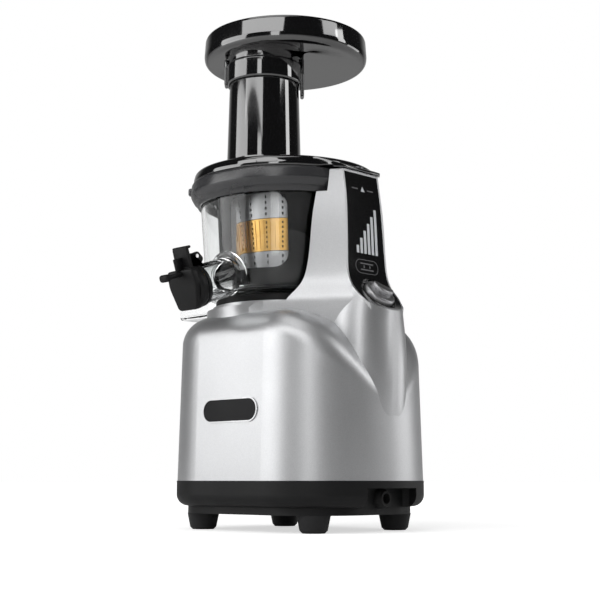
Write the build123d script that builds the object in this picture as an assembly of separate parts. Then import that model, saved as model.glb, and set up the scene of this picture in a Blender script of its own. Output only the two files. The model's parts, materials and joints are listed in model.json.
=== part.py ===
from build123d import *
from math import acos, asin, cos, degrees, atan2, pi, radians, sin, sqrt, tan
import os

# Cold press juicer: a tall housing with a motor and gearbox below, and a clear bowl that stands on
# its seat, held by an arm with the control panel on its front.
# Millimetres, +Z up. The shapes below are drawn about the bowl's axis, with the panel on the +X side
# and the juice spout on the -Y side. BOWL_AXIS then places them, so that the origin is the centre of
# the whole object's box, on the surface that it stands on.

BOWL_AXIS = (-4.75, 27.4)        # where the bowl's axis stands in the part's own frame

# base
FOOT_X, FOOT_DX, FOOT_DY = 15.0, 61.5, 46.5
FOOT_H, FOOT_R = 13.0, 12.8
TRAY_Z0, TRAY_Z1 = 18.8, 38.5
GLAND_Z = 25.2                   # height of the mains cord's inlet
BASE_X0, BASE_X1, BASE_W = -80.2, 118.0, 77.6            # plan of the tray's top edge:
BASE_R, CORNER_R, NOSE_R = 58.0, 64.0, 95.0              # its rear corners, front corners and bowed nose
WALL = 3.0

# housing
DRAFT = 1.5                      # degrees that the walls lean in
BODY_H = 146.0
SHOULDER = [(-120, 166.5), (-10, 170.6), (49, 169.8)]          # the curved top: an arc through these,
SHOULDER_END, NOSE_END = (101.0, 138.5), (118.0, 88.5)         # then tangent arcs down to these
RIDGE_FILLET = 23.0
COLUMN_X0, COLUMN_R = 40.0, 30.0
COLUMN = [(50, 111.0, 33.0), (88, 116.3, 33.0), (104, 117.5, 33.0), (122, 118.0, 33.0), (150, 117.4, 32.0),
          (166, 116.8, 30.2), (182, 116.6, 26.2), (200, 116.6, 20.0)]  # height, the nose's X, half width
ARM_TOP = 280.0
ARM_TAPER = 0.56                 # how fast the arm's sides close towards the panel
ARM_AT = 40.0                    # the X at which ARM_SIDE is measured
ARM_W = 61.0                     # half width that the arm's flare stays within
ARM_SIDE = [(45.2, 292), (46.0, 276), (47.3, 262), (48.9, 248), (50.0, 232), (50.8, 216), (52.1, 201),
            (54.2, 190), (57.6, 181), (59.2, 175), (58.6, 168), (56.0, 158), (53.0, 144), (52.0, 128)]
SADDLE = [(-60, 146), (-25, 156), (2, 165.5), (20, 172.2), (33, 178.5), (43, 188.5), (50, 206),
          (55, 230), (59, 262), (62, 292)]    # the rear slope of the arm, seen from the side
FRONT = [(82.6, 292), (83.8, 280), (86.2, 264), (87.9, 246), (88.9, 228), (89.7, 210), (91.2, 197),
         (95.0, 188), (101.6, 180.2), (108.8, 172.6), (117.4, 166.8), (126, 163)]
SEAT_R = 57.5
SEAT_Z = 158.0                   # floor that the seat deck lies on
SEAT_RINGS = [(64.5, 175.2), (59.6, 178.4)]      # two steps round the seat: radius, top
ARM_BORE_R, ARM_BORE_Z = 74.0, 175.7             # the arm's round hollow behind the bowl
RING_SEAT_R, RING_SEAT_Z = 79.4, 262.5

# control panel and knob
PANEL_T = 2.0
PANEL_W_TOP, PANEL_W_LOW = 19.3, 22.7
KNOB_AT = (100.9, 0.0, 179.8)
KNOB_R, KNOB_H = 13.2, 5.4
BEZEL_R = 16.2

# badge
BADGE_X, BADGE_Z, BADGE_L, BADGE_H = 16.0, 92.0, 61.0, 18.6

# drive train
MOTOR_X = 30.0
STATOR_R, ROTOR_R, AIR_GAP = 45.0, 24.0, 0.6
STATOR_Z0, STATOR_Z1 = 60.0, 102.0
PRESSURE_ANGLE = radians(25)
BACKLASH = 0.22
M1, Z_MOTOR, Z_REDUCTION = 0.9, 14, 64           # first stage
M2, Z_PINION, Z_OUTPUT = 1.4, 14, 57             # second stage
M3, Z_AUGER, Z_IDLER = 1.0, 16, 28               # brush drive in the bowl
Z_RING = Z_AUGER + 2 * Z_IDLER
CASE_Z0, CASE_Z1 = 119.0, 149.0
SHAFT_R = 6.0
HEX_AF, HEX_TOP = 10.0, 214.0

# seat deck and bowl
DECK_R, DECK_TOP = 57.0, 185.0
BOWL_Z0, BOWL_FLOOR, BOWL_TOP = 185.5, 188.5, 266.0
BOWL_R0, BOWL_R1, BOWL_T = 64.8, 70.6, 3.0
COLLAR_R, COLLAR_Z1 = 78.7, 282.0
SPOUT_AT, SPOUT_TILT = (0.0, -63.0, 199.4), 18.6
SPOUT_R, SPOUT_BORE, SPOUT_LEN = 15.5, 12.5, 37.2
HINGE_S, HINGE_U = 35.0, 22.5    # the cap's hinge, along the spout and above its centre line
CHUTE_W, CHUTE_END, CHUTE_Z0, CHUTE_Z1 = 22.0, -108.5, 176.8, 191.0

# strainer, brush and auger
STRAINER_BANDS = {"base": (188.5, 208.0), "mesh_low": (208.0, 221.0), "band": (221.0, 247.0),
                  "mesh_top": (247.0, 268.0)}
STRAINER_R0, STRAINER_R1, STRAINER_T = 38.2, 45.6, 1.6
CAGE_R0, CAGE_R1, CAGE_T = 55.5, 59.0, 2.2
CAGE_Z0, CAGE_Z1 = 197.5, 263.0
CAGE_WINDOWS, WINDOW_DEG = 5, 54.0
CAGE_PHASE = -69.0
AUGER_Z0, AUGER_Z1, AUGER_R = 201.0, 268.0, 34.5

# lid, feed tube and hopper
LID_R, LID_Z0, LID_Z1 = 76.6, 282.3, 291.5
FEED_AT = (3.0, -28.0)
FEED_R0, FEED_R1, FEED_T, FEED_Z1 = 30.4, 27.9, 2.6, 388.0
TRAY_R, HOPPER_Z0, HOPPER_Z1 = 68.8, 386.5, 408.0
NECK_R, NECK_T, NECK_Z0 = 31.0, 2.2, 371.0


# ---------------------------------------------------------------- helpers

def save(name, *shapes):
    """Writes one node: its solids, moved from the bowl's axis to the part's own frame."""
    solids = [s for shape in shapes for s in shape.solids()]
    placed = [s.moved(Location((BOWL_AXIS[0], BOWL_AXIS[1], 0))) for s in solids]
    export_step(Compound(children=placed) if len(placed) > 1 else placed[0], f"parts/{name}.step")


def disc(r, z0, z1, at=(0, 0), hole=0.0):
    """An upright cylinder, or a ring where hole is given."""
    body = extrude(Plane.XY.offset(z0) * Pos(at[0], at[1]) * Circle(r), z1 - z0)
    if hole:
        body -= extrude(Plane.XY.offset(z0) * Pos(at[0], at[1]) * Circle(hole), z1 - z0)
    return body


def turned(points, at=(0, 0)):
    """A solid of revolution about an upright axis, from (radius, height) points."""
    profile = make_face(Plane.XZ * Polyline(*points, close=True))
    return Pos(at[0], at[1], 0) * revolve(profile, Axis.Z)


def plan(x0, x1, half_width, r, z):
    """A rounded rectangle, symmetric about the XZ plane."""
    return Plane.XY.offset(z) * Pos((x0 + x1) / 2, 0) * RectangleRounded(x1 - x0, 2 * half_width, r)


def slab(x0, x1, y0, y1, z0, z1):
    """A box between two corners."""
    return Pos((x0 + x1) / 2, (y0 + y1) / 2, (z0 + z1) / 2) * Box(x1 - x0, y1 - y0, z1 - z0)


def sector(r, a0, a1, z0, z1):
    """A pie slice between two angles in degrees, used to cut slots and windows."""
    steps = 8
    rim = [(r * cos(radians(a0 + (a1 - a0) * i / steps)), r * sin(radians(a0 + (a1 - a0) * i / steps)))
           for i in range(steps + 1)]
    return extrude(Plane.XY.offset(z0) * make_face(Polyline((0, 0), *rim, close=True)), z1 - z0)


def cone_radius(z, z0, z1, r0, r1):
    """The radius of a straight cone at height z."""
    return r0 + (r1 - r0) * (z - z0) / (z1 - z0)


def cone_shell(z0, z1, radius, thickness):
    """A thin conical wall between two heights; radius gives its outside."""
    ro0, ro1 = radius(z0), radius(z1)
    return turned([(ro0 - thickness, z0), (ro0, z0), (ro1, z1), (ro1 - thickness, z1)])


def gear_outline(module, teeth, phase, backlash=BACKLASH, addendum=1.0, dedendum=1.25):
    """The closed outline of an involute gear, with a tooth centred on the angle phase."""
    rp = module * teeth / 2
    rb = rp * cos(PRESSURE_ANGLE)
    root, tip = rp - dedendum * module, rp + addendum * module
    half = pi / (2 * teeth) - backlash / (2 * rp) + tan(PRESSURE_ANGLE) - PRESSURE_ANGLE
    flank = []
    for r in (max(root, rb), rp, (rp + tip) / 2, tip):
        roll = acos(min(1.0, rb / r))
        flank.append((r, half - (tan(roll) - roll)))
    if root < rb:
        flank.insert(0, (root, flank[0][1]))
    points = []
    for i in range(teeth):
        middle = phase + 2 * pi * i / teeth
        points += [(r * cos(middle - a), r * sin(middle - a)) for r, a in flank]
        points += [(r * cos(middle + a), r * sin(middle + a)) for r, a in reversed(flank)]
    return Polyline(*points, close=True)


def gear(module, teeth, phase, z0, z1, at=(0, 0), bore=0.0):
    """A spur gear with an upright axis."""
    body = extrude(Plane.XY.offset(z0) * make_face(gear_outline(module, teeth, phase)), z1 - z0)
    body = Pos(at[0], at[1], 0) * body
    return body - disc(bore, z0, z1, at) if bore else body


# ---------------------------------------------------------------- housing

def level_arc(centre, r, a0, a1):
    """A level arc about a centre, between two angles in degrees."""
    return ThreePointArc(*[(centre[0] + r * cos(radians(a)), centre[1] + r * sin(radians(a)))
                           for a in (a0, (a0 + a1) / 2, a1)])


def base_plan(shrink, z):
    """The base's outline: round rear corners and a bowed nose, in arcs about fixed centres."""
    bow = degrees(asin((BASE_W - CORNER_R) / (NOSE_R - CORNER_R)))
    nose_x = BASE_X1 - NOSE_R
    x, y = nose_x + (NOSE_R - CORNER_R) * cos(radians(bow)), BASE_W - CORNER_R
    rear_x, rear_y = BASE_X0 + BASE_R, BASE_W - BASE_R
    nose = level_arc((nose_x, 0), NOSE_R - shrink, -bow, bow)
    left = level_arc((x, y), CORNER_R - shrink, bow, 90)
    rear_left = level_arc((rear_x, rear_y), BASE_R - shrink, 90, 180)
    rear_right = level_arc((rear_x, -rear_y), BASE_R - shrink, 180, 270)
    right = level_arc((x, -y), CORNER_R - shrink, 270, 360 - bow)
    outline = [nose, left, Line(left @ 1, rear_left @ 0), rear_left, Line(rear_left @ 1, rear_right @ 0),
               rear_right, Line(rear_right @ 1, right @ 0), right]
    return Plane.XY.offset(z) * make_face(outline)


def cut_from_side(outline):
    """A cutter as wide as the whole housing, from an outline in the XZ plane."""
    return extrude(Plane.XZ.offset(-130) * make_face(outline), 260)


def fender_cutter(shrink):
    """Everything above the curved top of the housing's body."""
    shift = Vector(-shrink, -shrink)
    shoulder = ThreePointArc(*[Vector(*p) + shift for p in SHOULDER])
    slope = TangentArc(shoulder @ 1, Vector(*SHOULDER_END) + shift, tangent=shoulder % 1)
    nose = TangentArc(slope @ 1, Vector(*NOSE_END) + shift, tangent=slope % 1)
    end = Line(nose @ 1, nose @ 1 + (nose % 1) * 60)
    first, last = shoulder @ 0, end @ 1
    rest = Polyline(last, (180, last.Y), (180, 320), (first.X, 320), first)
    return cut_from_side(shoulder + slope + nose + end + rest)


def front_cutter(shrink):
    """Everything in front of the panel side of the arm and the column."""
    spline = Spline(*[(x - shrink, z - shrink * 0.5) for x, z in FRONT])
    first, last = spline @ 0, spline @ 1
    return cut_from_side(spline + Polyline(last, (190, last.Y), (190, first.Y), first))


def arm_side(side, shrink):
    """The space inside one of the arm's two flared side surfaces."""
    spline = Spline(*[(w - shrink, z - shrink * 0.5) for w, z in ARM_SIDE])
    first, last = spline @ 0, spline @ 1
    outline = spline + Polyline(last, (last.X, 45), (-130, 45), (-130, first.Y), first)
    if side < 0:
        outline = mirror(outline, Plane.YZ)
    face = Plane(origin=(ARM_AT, 0, 0), x_dir=(0, 1, 0), z_dir=(1, 0, 0)) * make_face(outline)
    direction = Vector(1, -side * ARM_TAPER, 0)
    return Solid.extrude(face.face(), direction * 110) + Solid.extrude(face.face(), direction * -60)


def saddle_cutter(shrink):
    """Everything above the slope that runs from the arm down to the housing's shoulder."""
    spline = Spline(*[(x + shrink * 0.6, z - shrink) for x, z in SADDLE])
    first, last = spline @ 0, spline @ 1
    return cut_from_side(spline + Polyline(last, (-140, last.Y), (-140, first.Y), first))


def drafted(shrink, z0, height):
    """The housing's plan, extruded with its walls leaning in."""
    return extrude(base_plan(shrink + 0.5, z0), height, taper=DRAFT)


def arm(shrink):
    """The flared arm, before the seat is cut."""
    both = arm_side(1, shrink) & arm_side(-1, shrink)
    limits = extrude(plan(-60, 112 - shrink, ARM_W - shrink, 55 - shrink, 110), ARM_TOP - 110 - shrink)
    return (both & limits) - front_cutter(shrink) - saddle_cutter(shrink)


def body(shrink):
    """The lower body, with its curved top and rounded ridge."""
    solid = drafted(shrink, TRAY_Z1, BODY_H) - fender_cutter(shrink)
    top = [f for f in solid.faces() if f.center().Z > 90
           and f.geom_type == GeomType.CYLINDER and abs(f.normal_at(f.center()).Y) < 0.01]
    ridge = [e for e in solid.edges() if sum(any(x.is_same(e) for x in f.edges()) for f in top) == 1]
    return fillet(ridge, RIDGE_FILLET - shrink)


def column(shrink):
    """The rounded column that runs down the front, under the panel."""
    sections = [plan(COLUMN_X0, x - shrink, w - shrink, min(COLUMN_R, w - 0.5) - shrink, z)
                for z, x, w in COLUMN]
    return loft(sections) - front_cutter(shrink)


def housing_outer():
    """The outside of the housing, as one solid."""
    (low_r, low_z), (high_r, high_z) = SEAT_RINGS
    outside = body(0) + column(0) + arm(0) - disc(ARM_BORE_R, ARM_BORE_Z, 300)
    outside += disc(low_r, SEAT_Z, low_z) + disc(high_r, SEAT_Z, high_z)
    return outside - slab(-90, -30, -CHUTE_W - 2, CHUTE_W + 2, low_z + 0.4, 200)


def housing_inner():
    """The space inside the housing's wall."""
    seat = disc(SEAT_R + WALL, SEAT_Z - WALL, 300)
    space = body(WALL) + column(WALL) + arm(WALL + 0.5)
    space -= seat + disc(ARM_BORE_R + WALL, ARM_BORE_Z - WALL, 300)
    return space - slab(60, 130, -60, 60, 256, 300)


def knob_plane():
    return Plane(origin=KNOB_AT, x_dir=(0, 1, 0), z_dir=(1, 0, 1))


def panel_solid():
    """The gloss panel: a layer of the arm's front, inside its rounded outline."""
    layer = front_cutter(PANEL_T) - front_cutter(0)
    side = Spline((PANEL_W_TOP, 278.6), (PANEL_W_TOP + 0.3, 258), (PANEL_W_TOP + 1.0, 240),
                  (PANEL_W_LOW - 1.4, 216), (PANEL_W_LOW - 0.5, 198), (PANEL_W_LOW, 183.0))
    foot = Spline(side @ 1, (PANEL_W_LOW * 0.84, 173.0), (0, 168.8), tangents=[(0, -1), (-1, 0)])
    half = side + foot
    outline = half + mirror(half, Plane.YZ) + Line((PANEL_W_TOP, 278.6), (-PANEL_W_TOP, 278.6))
    view = Plane(origin=(60, 0, 0), x_dir=(0, 1, 0), z_dir=(1, 0, 0))
    window = extrude(view * make_face(outline), 90)
    return layer & window


def badge_plane(proud=0.0):
    """The flat of the housing's side that carries the badge, facing -Y."""
    slope = tan(radians(DRAFT))
    y = -(BASE_W - 0.5 - slope * (BADGE_Z - TRAY_Z1))
    tilt = Vector(0, -1, slope)
    return Plane(origin=Vector(BADGE_X, y, BADGE_Z) + tilt * proud, x_dir=(1, 0, 0), z_dir=tilt)


def housing_parts():
    shell = housing_outer() - housing_inner()
    shell -= disc(SEAT_R, SEAT_Z, 300)
    shell -= disc(RING_SEAT_R, RING_SEAT_Z, 300)
    shell -= disc(31, SEAT_Z - 10, SEAT_Z + 5)                    # hole for the gearbox's neck
    panel = panel_solid()
    bezel_pocket = extrude(knob_plane().offset(-3.0) * Circle(BEZEL_R), 20)
    switch_hole = extrude(knob_plane().offset(-14.0) * Circle(6.0), 20)
    badge_pocket = extrude(badge_plane(-1.0) * SlotOverall(BADGE_L, BADGE_H), 5)
    sensor_pocket = slab(78.0, 81.6, -8, 8, 265.5, 274.5)
    shell = shell - panel - bezel_pocket - switch_hole - badge_pocket - sensor_pocket
    save("housing_shell", shell)
    save("control_panel", panel - bezel_pocket)

    trim = slab(79.0, 83.7, -21.0, 21.0, ARM_TOP, ARM_TOP + 0.5) & extrude(
        plan(68, 83.7, 21.0, 3, ARM_TOP), 2)
    save("panel_trim", trim)

    ring = extrude(knob_plane().offset(-3.0) * Circle(BEZEL_R), 4.2)
    ring -= extrude(knob_plane().offset(-1.5) * Circle(KNOB_R + 0.7), 10)
    ring -= extrude(knob_plane().offset(-3.5) * Circle(4.0), 10)
    save("knob_bezel", ring)

    knob = extrude(knob_plane().offset(-1.1) * Circle(KNOB_R), KNOB_H + 1.1)
    knob = fillet(knob.edges().group_by(Axis((0, 0, 0), (1, 0, 1)))[-1], 1.6)
    grip = extrude(knob_plane().offset(KNOB_H - 1.0) * SlotOverall(22.4, 7.8, -45), 4.6)
    grip = fillet(grip.edges().group_by(Axis((0, 0, 0), (1, 0, 1)))[-1], 1.8)
    stem = extrude(knob_plane().offset(-9.0) * Circle(3.0), 8.0)
    save("control_knob", knob + grip + stem)

    switch = extrude(knob_plane().offset(-22.0) * RectangleRounded(20, 20, 2), 14.5)
    switch -= extrude(knob_plane().offset(-10.0) * Circle(3.15), 10)
    neck = extrude(knob_plane().offset(-7.5) * Circle(5.8), 4.4)
    neck -= extrude(knob_plane().offset(-10.0) * Circle(3.15), 10)
    save("rotary_switch", switch + neck)

    save("lid_sensor", slab(79.8, 81.4, -7.5, 7.5, 266, 274))

    rim = extrude(badge_plane(-1.0) * SlotOverall(BADGE_L, BADGE_H), 2.0)
    rim -= extrude(badge_plane(-2.0) * SlotOverall(BADGE_L - 2.0, BADGE_H - 2.0), 5.0)
    save("badge_rim", rim)
    plate = extrude(badge_plane(-1.0) * SlotOverall(BADGE_L - 2.0, BADGE_H - 2.0), 1.7)
    save("badge_plate", plate)


# ---------------------------------------------------------------- base

def foot_places():
    return [(FOOT_X + i * FOOT_DX, j * FOOT_DY) for i in (-1, 1) for j in (-1, 1)]


def screw_places():
    return [(FOOT_X + i * 30, j * 52) for i in (-1, 1) for j in (-1, 1)]


def base_parts():
    outside = extrude(base_plan(0, TRAY_Z0), TRAY_Z1 - TRAY_Z0)
    outside = fillet(outside.edges().group_by(Axis.Z)[0], 9.0)
    inside = extrude(base_plan(WALL, TRAY_Z0 + WALL), 30)
    inside -= slab(94, 130, -34, 34, 0, 60)
    tray = outside - inside
    scoop = Pos(BASE_X1 - 0.4, 0, TRAY_Z0 - 4) * Cylinder(30, 40)
    scoop &= slab(102, 130, -28, 28, TRAY_Z0 - 5, 33)
    tray -= scoop
    tray -= extrude(Plane(origin=(90, 0, GLAND_Z), z_dir=(1, 0, 0)) * Circle(6.1), 20)
    vents = [slab(-30, 40, -3 + 12 * i, 3 + 12 * i, TRAY_Z0 - 1, TRAY_Z0 + 5) for i in (-2, -1, 0, 1, 2)]
    for vent in vents:
        tray -= vent
    for x in (-60, -24):
        for y in (-34, 14):
            tray += disc(3.0, TRAY_Z0 + WALL, 27.0, (x, y))
    plate = extrude(plan(BASE_X0 + 9, BASE_X1 - 17.4, BASE_W - 10, BASE_R - 10, FOOT_H), TRAY_Z0 - FOOT_H)
    plate -= extrude(plan(BASE_X0 + 12, BASE_X1 - 20.4, BASE_W - 13, BASE_R - 13, FOOT_H + 2.5), 20)
    for i in (-2, -1, 0, 1, 2):
        plate -= slab(-20, 50, -2 + 12 * i, 2 + 12 * i, FOOT_H - 1, FOOT_H + 5)
    screws = []
    for x, y in screw_places():
        plate += disc(5.0, FOOT_H + 2.5, TRAY_Z0, (x, y))
        plate -= disc(2.0, FOOT_H - 1, TRAY_Z0 + 1, (x, y)) + disc(4.0, FOOT_H - 1, FOOT_H + 2.2, (x, y))
        tray -= disc(1.6, TRAY_Z0 - 1, TRAY_Z0 + 5, (x, y))
        head = disc(3.8, FOOT_H + 0.4, FOOT_H + 2.2, (x, y))
        screws.append(head + disc(1.6, FOOT_H + 2, TRAY_Z0 + WALL, (x, y)))
    save("base_tray", tray)
    save("bottom_plate", plate)
    save("base_screws", *screws)
    foot = [(0, 0), (8.4, 0), (10.5, 2.0), (FOOT_R - 0.3, FOOT_H - 1.5), (FOOT_R, FOOT_H), (0, FOOT_H)]
    save("rubber_feet", *[turned(foot, at) for at in foot_places()])

    gland = turned([(4.0, 0), (6.0, 0), (6.0, 8.6), (7.6, 8.6), (7.3, 11.5), (5.8, 14.5), (4.0, 14.5)])
    save("cord_inlet", Pos(93.4, 0, GLAND_Z) * Rot(0, 90, 0) * gland)


def electronics():
    board = slab(-64, -20, -38, 18, 27.0, 28.6)
    save("circuit_board", board)
    save("board_relay", slab(-58, -40, -30, -14, 28.6, 44), slab(-36, -26, -32, -12, 28.6, 38),
         slab(-58, -34, -4, 10, 28.6, 37))
    can = disc(14.0, TRAY_Z0 + WALL, 74, (-48, 40))
    save("run_capacitor", fillet(can.edges().group_by(Axis.Z)[-1], 2.0))


# ---------------------------------------------------------------- motor and gearbox

CENTRES_1 = M1 * (Z_MOTOR + Z_REDUCTION) / 2
CENTRES_2 = M2 * (Z_PINION + Z_OUTPUT) / 2
RED_X = (CENTRES_2 ** 2 - CENTRES_1 ** 2 + MOTOR_X ** 2) / (2 * MOTOR_X)
RED_Y = sqrt(CENTRES_2 ** 2 - RED_X ** 2)
REDUCTION_AT = (RED_X, RED_Y)
MOTOR_AT = (MOTOR_X, 0)


def mounting_places(r):
    return [(MOTOR_X + r * cos(radians(a)), r * sin(radians(a))) for a in (45, 135, 225, 315)]


def motor_parts():
    stack = extrude(Plane.XY.offset(STATOR_Z0) * Pos(MOTOR_X, 0) * stator_sheet(), STATOR_Z1 - STATOR_Z0)
    save("motor_stator", stack)
    coil = [(27.0, 0), (38.0, 0), (39.0, 3.0), (38.0, 9.0), (33.0, 10.5), (28.0, 9.0)]
    upper = [(r, STATOR_Z1 + z) for r, z in coil]
    lower = [(r, STATOR_Z0 - z) for r, z in reversed(coil)]
    save("stator_windings", turned(upper, MOTOR_AT), turned(lower, MOTOR_AT))

    bottom = disc(51, 44, 49, MOTOR_AT) + disc(51, 49, STATOR_Z0, MOTOR_AT, hole=STATOR_R)
    bottom -= disc(11, 40, 60, MOTOR_AT)
    top = disc(51, 114, CASE_Z0, MOTOR_AT) + disc(51, STATOR_Z1, 114, MOTOR_AT, hole=STATOR_R)
    top -= disc(11, 110, 125, MOTOR_AT)
    for x, y in mounting_places(48):
        bottom -= disc(1.7, 40, 80, (x, y))
        top -= disc(1.7, 95, 125, (x, y))
    for a in range(0, 360, 60):
        window = disc(7.0, 43, 50, (MOTOR_X + 26 * cos(radians(a + 15)), 26 * sin(radians(a + 15))))
        bottom -= window
    save("motor_bottom_frame", bottom)
    save("motor_top_frame", top)
    save("motor_bolts", *[disc(1.6, 44, CASE_Z0, at) + disc(3.2, 41.4, 44, at)
                          for at in mounting_places(48)])
    isolators = [disc(6.0, TRAY_Z0 + WALL, 44, at) for at in mounting_places(37.6)]
    save("motor_isolators", *isolators)
    save("motor_bearings", disc(11, 44, 49, MOTOR_AT, hole=5.05), disc(11, 114, CASE_Z0, MOTOR_AT, hole=5.05))

    save("rotor_core", disc(ROTOR_R, STATOR_Z0 - 1, STATOR_Z1 + 1, MOTOR_AT, hole=5.0))
    phase = atan2(RED_Y, RED_X - MOTOR_X)
    shaft = disc(5.0, 27, 122.6, MOTOR_AT) + disc(4.0, 122, 124, MOTOR_AT)
    shaft += gear(M1, Z_MOTOR, phase, 123.4, 132.4, MOTOR_AT)
    save("motor_shaft", shaft)
    fan = disc(9, 29, 40, MOTOR_AT, hole=5.0) + disc(30, 38.6, 40, MOTOR_AT, hole=5.0)
    for i in range(9):
        blade = slab(8, 29.5, -0.7, 0.7, 29, 39)
        fan += Pos(MOTOR_X, 0, 0) * Rot(0, 0, 40 * i) * blade
    save("cooling_fan", fan)


def stator_sheet():
    """One lamination of the stator, with its slots."""
    sheet = Circle(STATOR_R) - Circle(ROTOR_R + AIR_GAP)
    slots = Sketch()
    for i in range(24):
        slots += Rot(0, 0, 15 * i) * Pos(32.5, 0) * Rectangle(11, 3.4)
    return sheet - slots


def case_outline(grow, z):
    """The gearbox's outline: a hull round its three shafts."""
    rounds = [Circle(Z_OUTPUT * M2 / 2 + 3.0 + grow),
              Pos(*REDUCTION_AT) * Circle(Z_REDUCTION * M1 / 2 + 2.5 + grow),
              Pos(MOTOR_X, 0) * Circle(12 + grow)]
    hull = make_hull([e for c in rounds for e in c.edges()])
    return Plane.XY.offset(z) * hull


def gearbox_parts():
    case = extrude(case_outline(3.0, CASE_Z0), CASE_Z1 - CASE_Z0) - extrude(case_outline(0, CASE_Z0 + 3), 60)
    case -= disc(7.0, CASE_Z0 - 1, CASE_Z0 + 4, MOTOR_AT) + disc(9.0, CASE_Z0 - 1, CASE_Z0 + 4)
    case -= disc(8.0, CASE_Z0 - 1, CASE_Z0 + 4, REDUCTION_AT)
    cover = extrude(case_outline(3.0, CASE_Z1), 4) + disc(20, CASE_Z1 + 4, 171, hole=13)
    cover -= disc(13.0, CASE_Z1 - 1, 180) + disc(8.0, CASE_Z1 - 1, CASE_Z1 + 5, REDUCTION_AT)
    bolts = []
    for x, y in [(-43.0, 0.5), (-21, -38.3), (29.5, -26.0), (63.0, 52.0), (10.0, 62.5)]:
        bolts.append(disc(3.0, CASE_Z1 + 4, CASE_Z1 + 5.8, (x, y)))
    save("gearbox_case", case)
    save("gearbox_cover", cover)
    save("gearbox_screws", *bolts)
    save("gear_bushes",
         disc(9.0, CASE_Z0, CASE_Z0 + 3, hole=SHAFT_R + 0.05),
         disc(13.0, CASE_Z1, CASE_Z1 + 14, hole=SHAFT_R + 0.05),
         disc(8.0, CASE_Z0, CASE_Z0 + 3, REDUCTION_AT, hole=5.05),
         disc(8.0, CASE_Z1, CASE_Z1 + 4, REDUCTION_AT, hole=5.05))
    save("shaft_seal", disc(13.0, 164, 171, hole=SHAFT_R + 0.1))

    phase_1 = atan2(RED_Y, RED_X - MOTOR_X)
    save("reduction_gear", gear(M1, Z_REDUCTION, phase_1 + pi + pi / Z_REDUCTION, 124.2, 131.2,
                                REDUCTION_AT, bore=7.0))
    phase_2 = atan2(-RED_Y, -RED_X)
    pinion = gear(M2, Z_PINION, phase_2, 131.8, 147.4, REDUCTION_AT)
    pinion += disc(7.0, 122.6, 131.8, REDUCTION_AT) + disc(5.0, CASE_Z0 + 0.2, CASE_Z1 + 3.6, REDUCTION_AT)
    save("reduction_pinion", pinion)
    wheel = gear(M2, Z_OUTPUT, phase_2 + pi + pi / Z_OUTPUT, 133.4, 145.4, bore=SHAFT_R)
    wheel -= disc(34, 133.3, 136, hole=12) + disc(34, 143, 146, hole=12)
    save("output_gear", wheel)
    shaft = disc(SHAFT_R, CASE_Z0 + 0.2, 186)
    shaft += extrude(Plane.XY.offset(186) * RegularPolygon(HEX_AF / 2, 6, major_radius=False), HEX_TOP - 186)
    shaft = chamfer(shaft.edges().group_by(Axis.Z)[-1], 0.8)
    save("drive_shaft", shaft)


# ---------------------------------------------------------------- seat deck

def deck_parts():
    deck = disc(DECK_R, SEAT_Z, DECK_TOP) - disc(DECK_R - 8, SEAT_Z - 1, DECK_TOP + 1)
    deck = chamfer(deck.edges().group_by(Axis.Z)[-1], 1.2)
    deck += disc(DECK_R - 7, 171, 174)
    deck += disc(17, 174, 179)
    deck -= disc(9, 160, 190)
    deck -= slab(-90, -10, -CHUTE_W - 2, CHUTE_W + 2, 174, 200)
    save("seat_deck", deck)
    save("deck_screws", *[disc(3.4, 174, 176, (44 * cos(radians(a)), 44 * sin(radians(a))))
                          for a in (30, 270, 120)])


# ---------------------------------------------------------------- bowl

def bowl_radius(z):
    return cone_radius(z, BOWL_Z0, BOWL_TOP, BOWL_R0, BOWL_R1)


def spout_plane(s=0.0):
    """A plane square to the juice spout, s along it from the bowl's wall; its X is the row's X."""
    t = radians(SPOUT_TILT)
    direction = Vector(0, -cos(t), -sin(t))
    return Plane(origin=Vector(*SPOUT_AT) + direction * s, x_dir=(1, 0, 0), z_dir=direction)


def spout_point(s, u):
    """A point in the YZ plane, s along the spout and u above its centre line."""
    t = radians(SPOUT_TILT)
    return Vector(*SPOUT_AT) + Vector(0, -cos(t), -sin(t)) * s + Vector(0, -sin(t), cos(t)) * u


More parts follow.
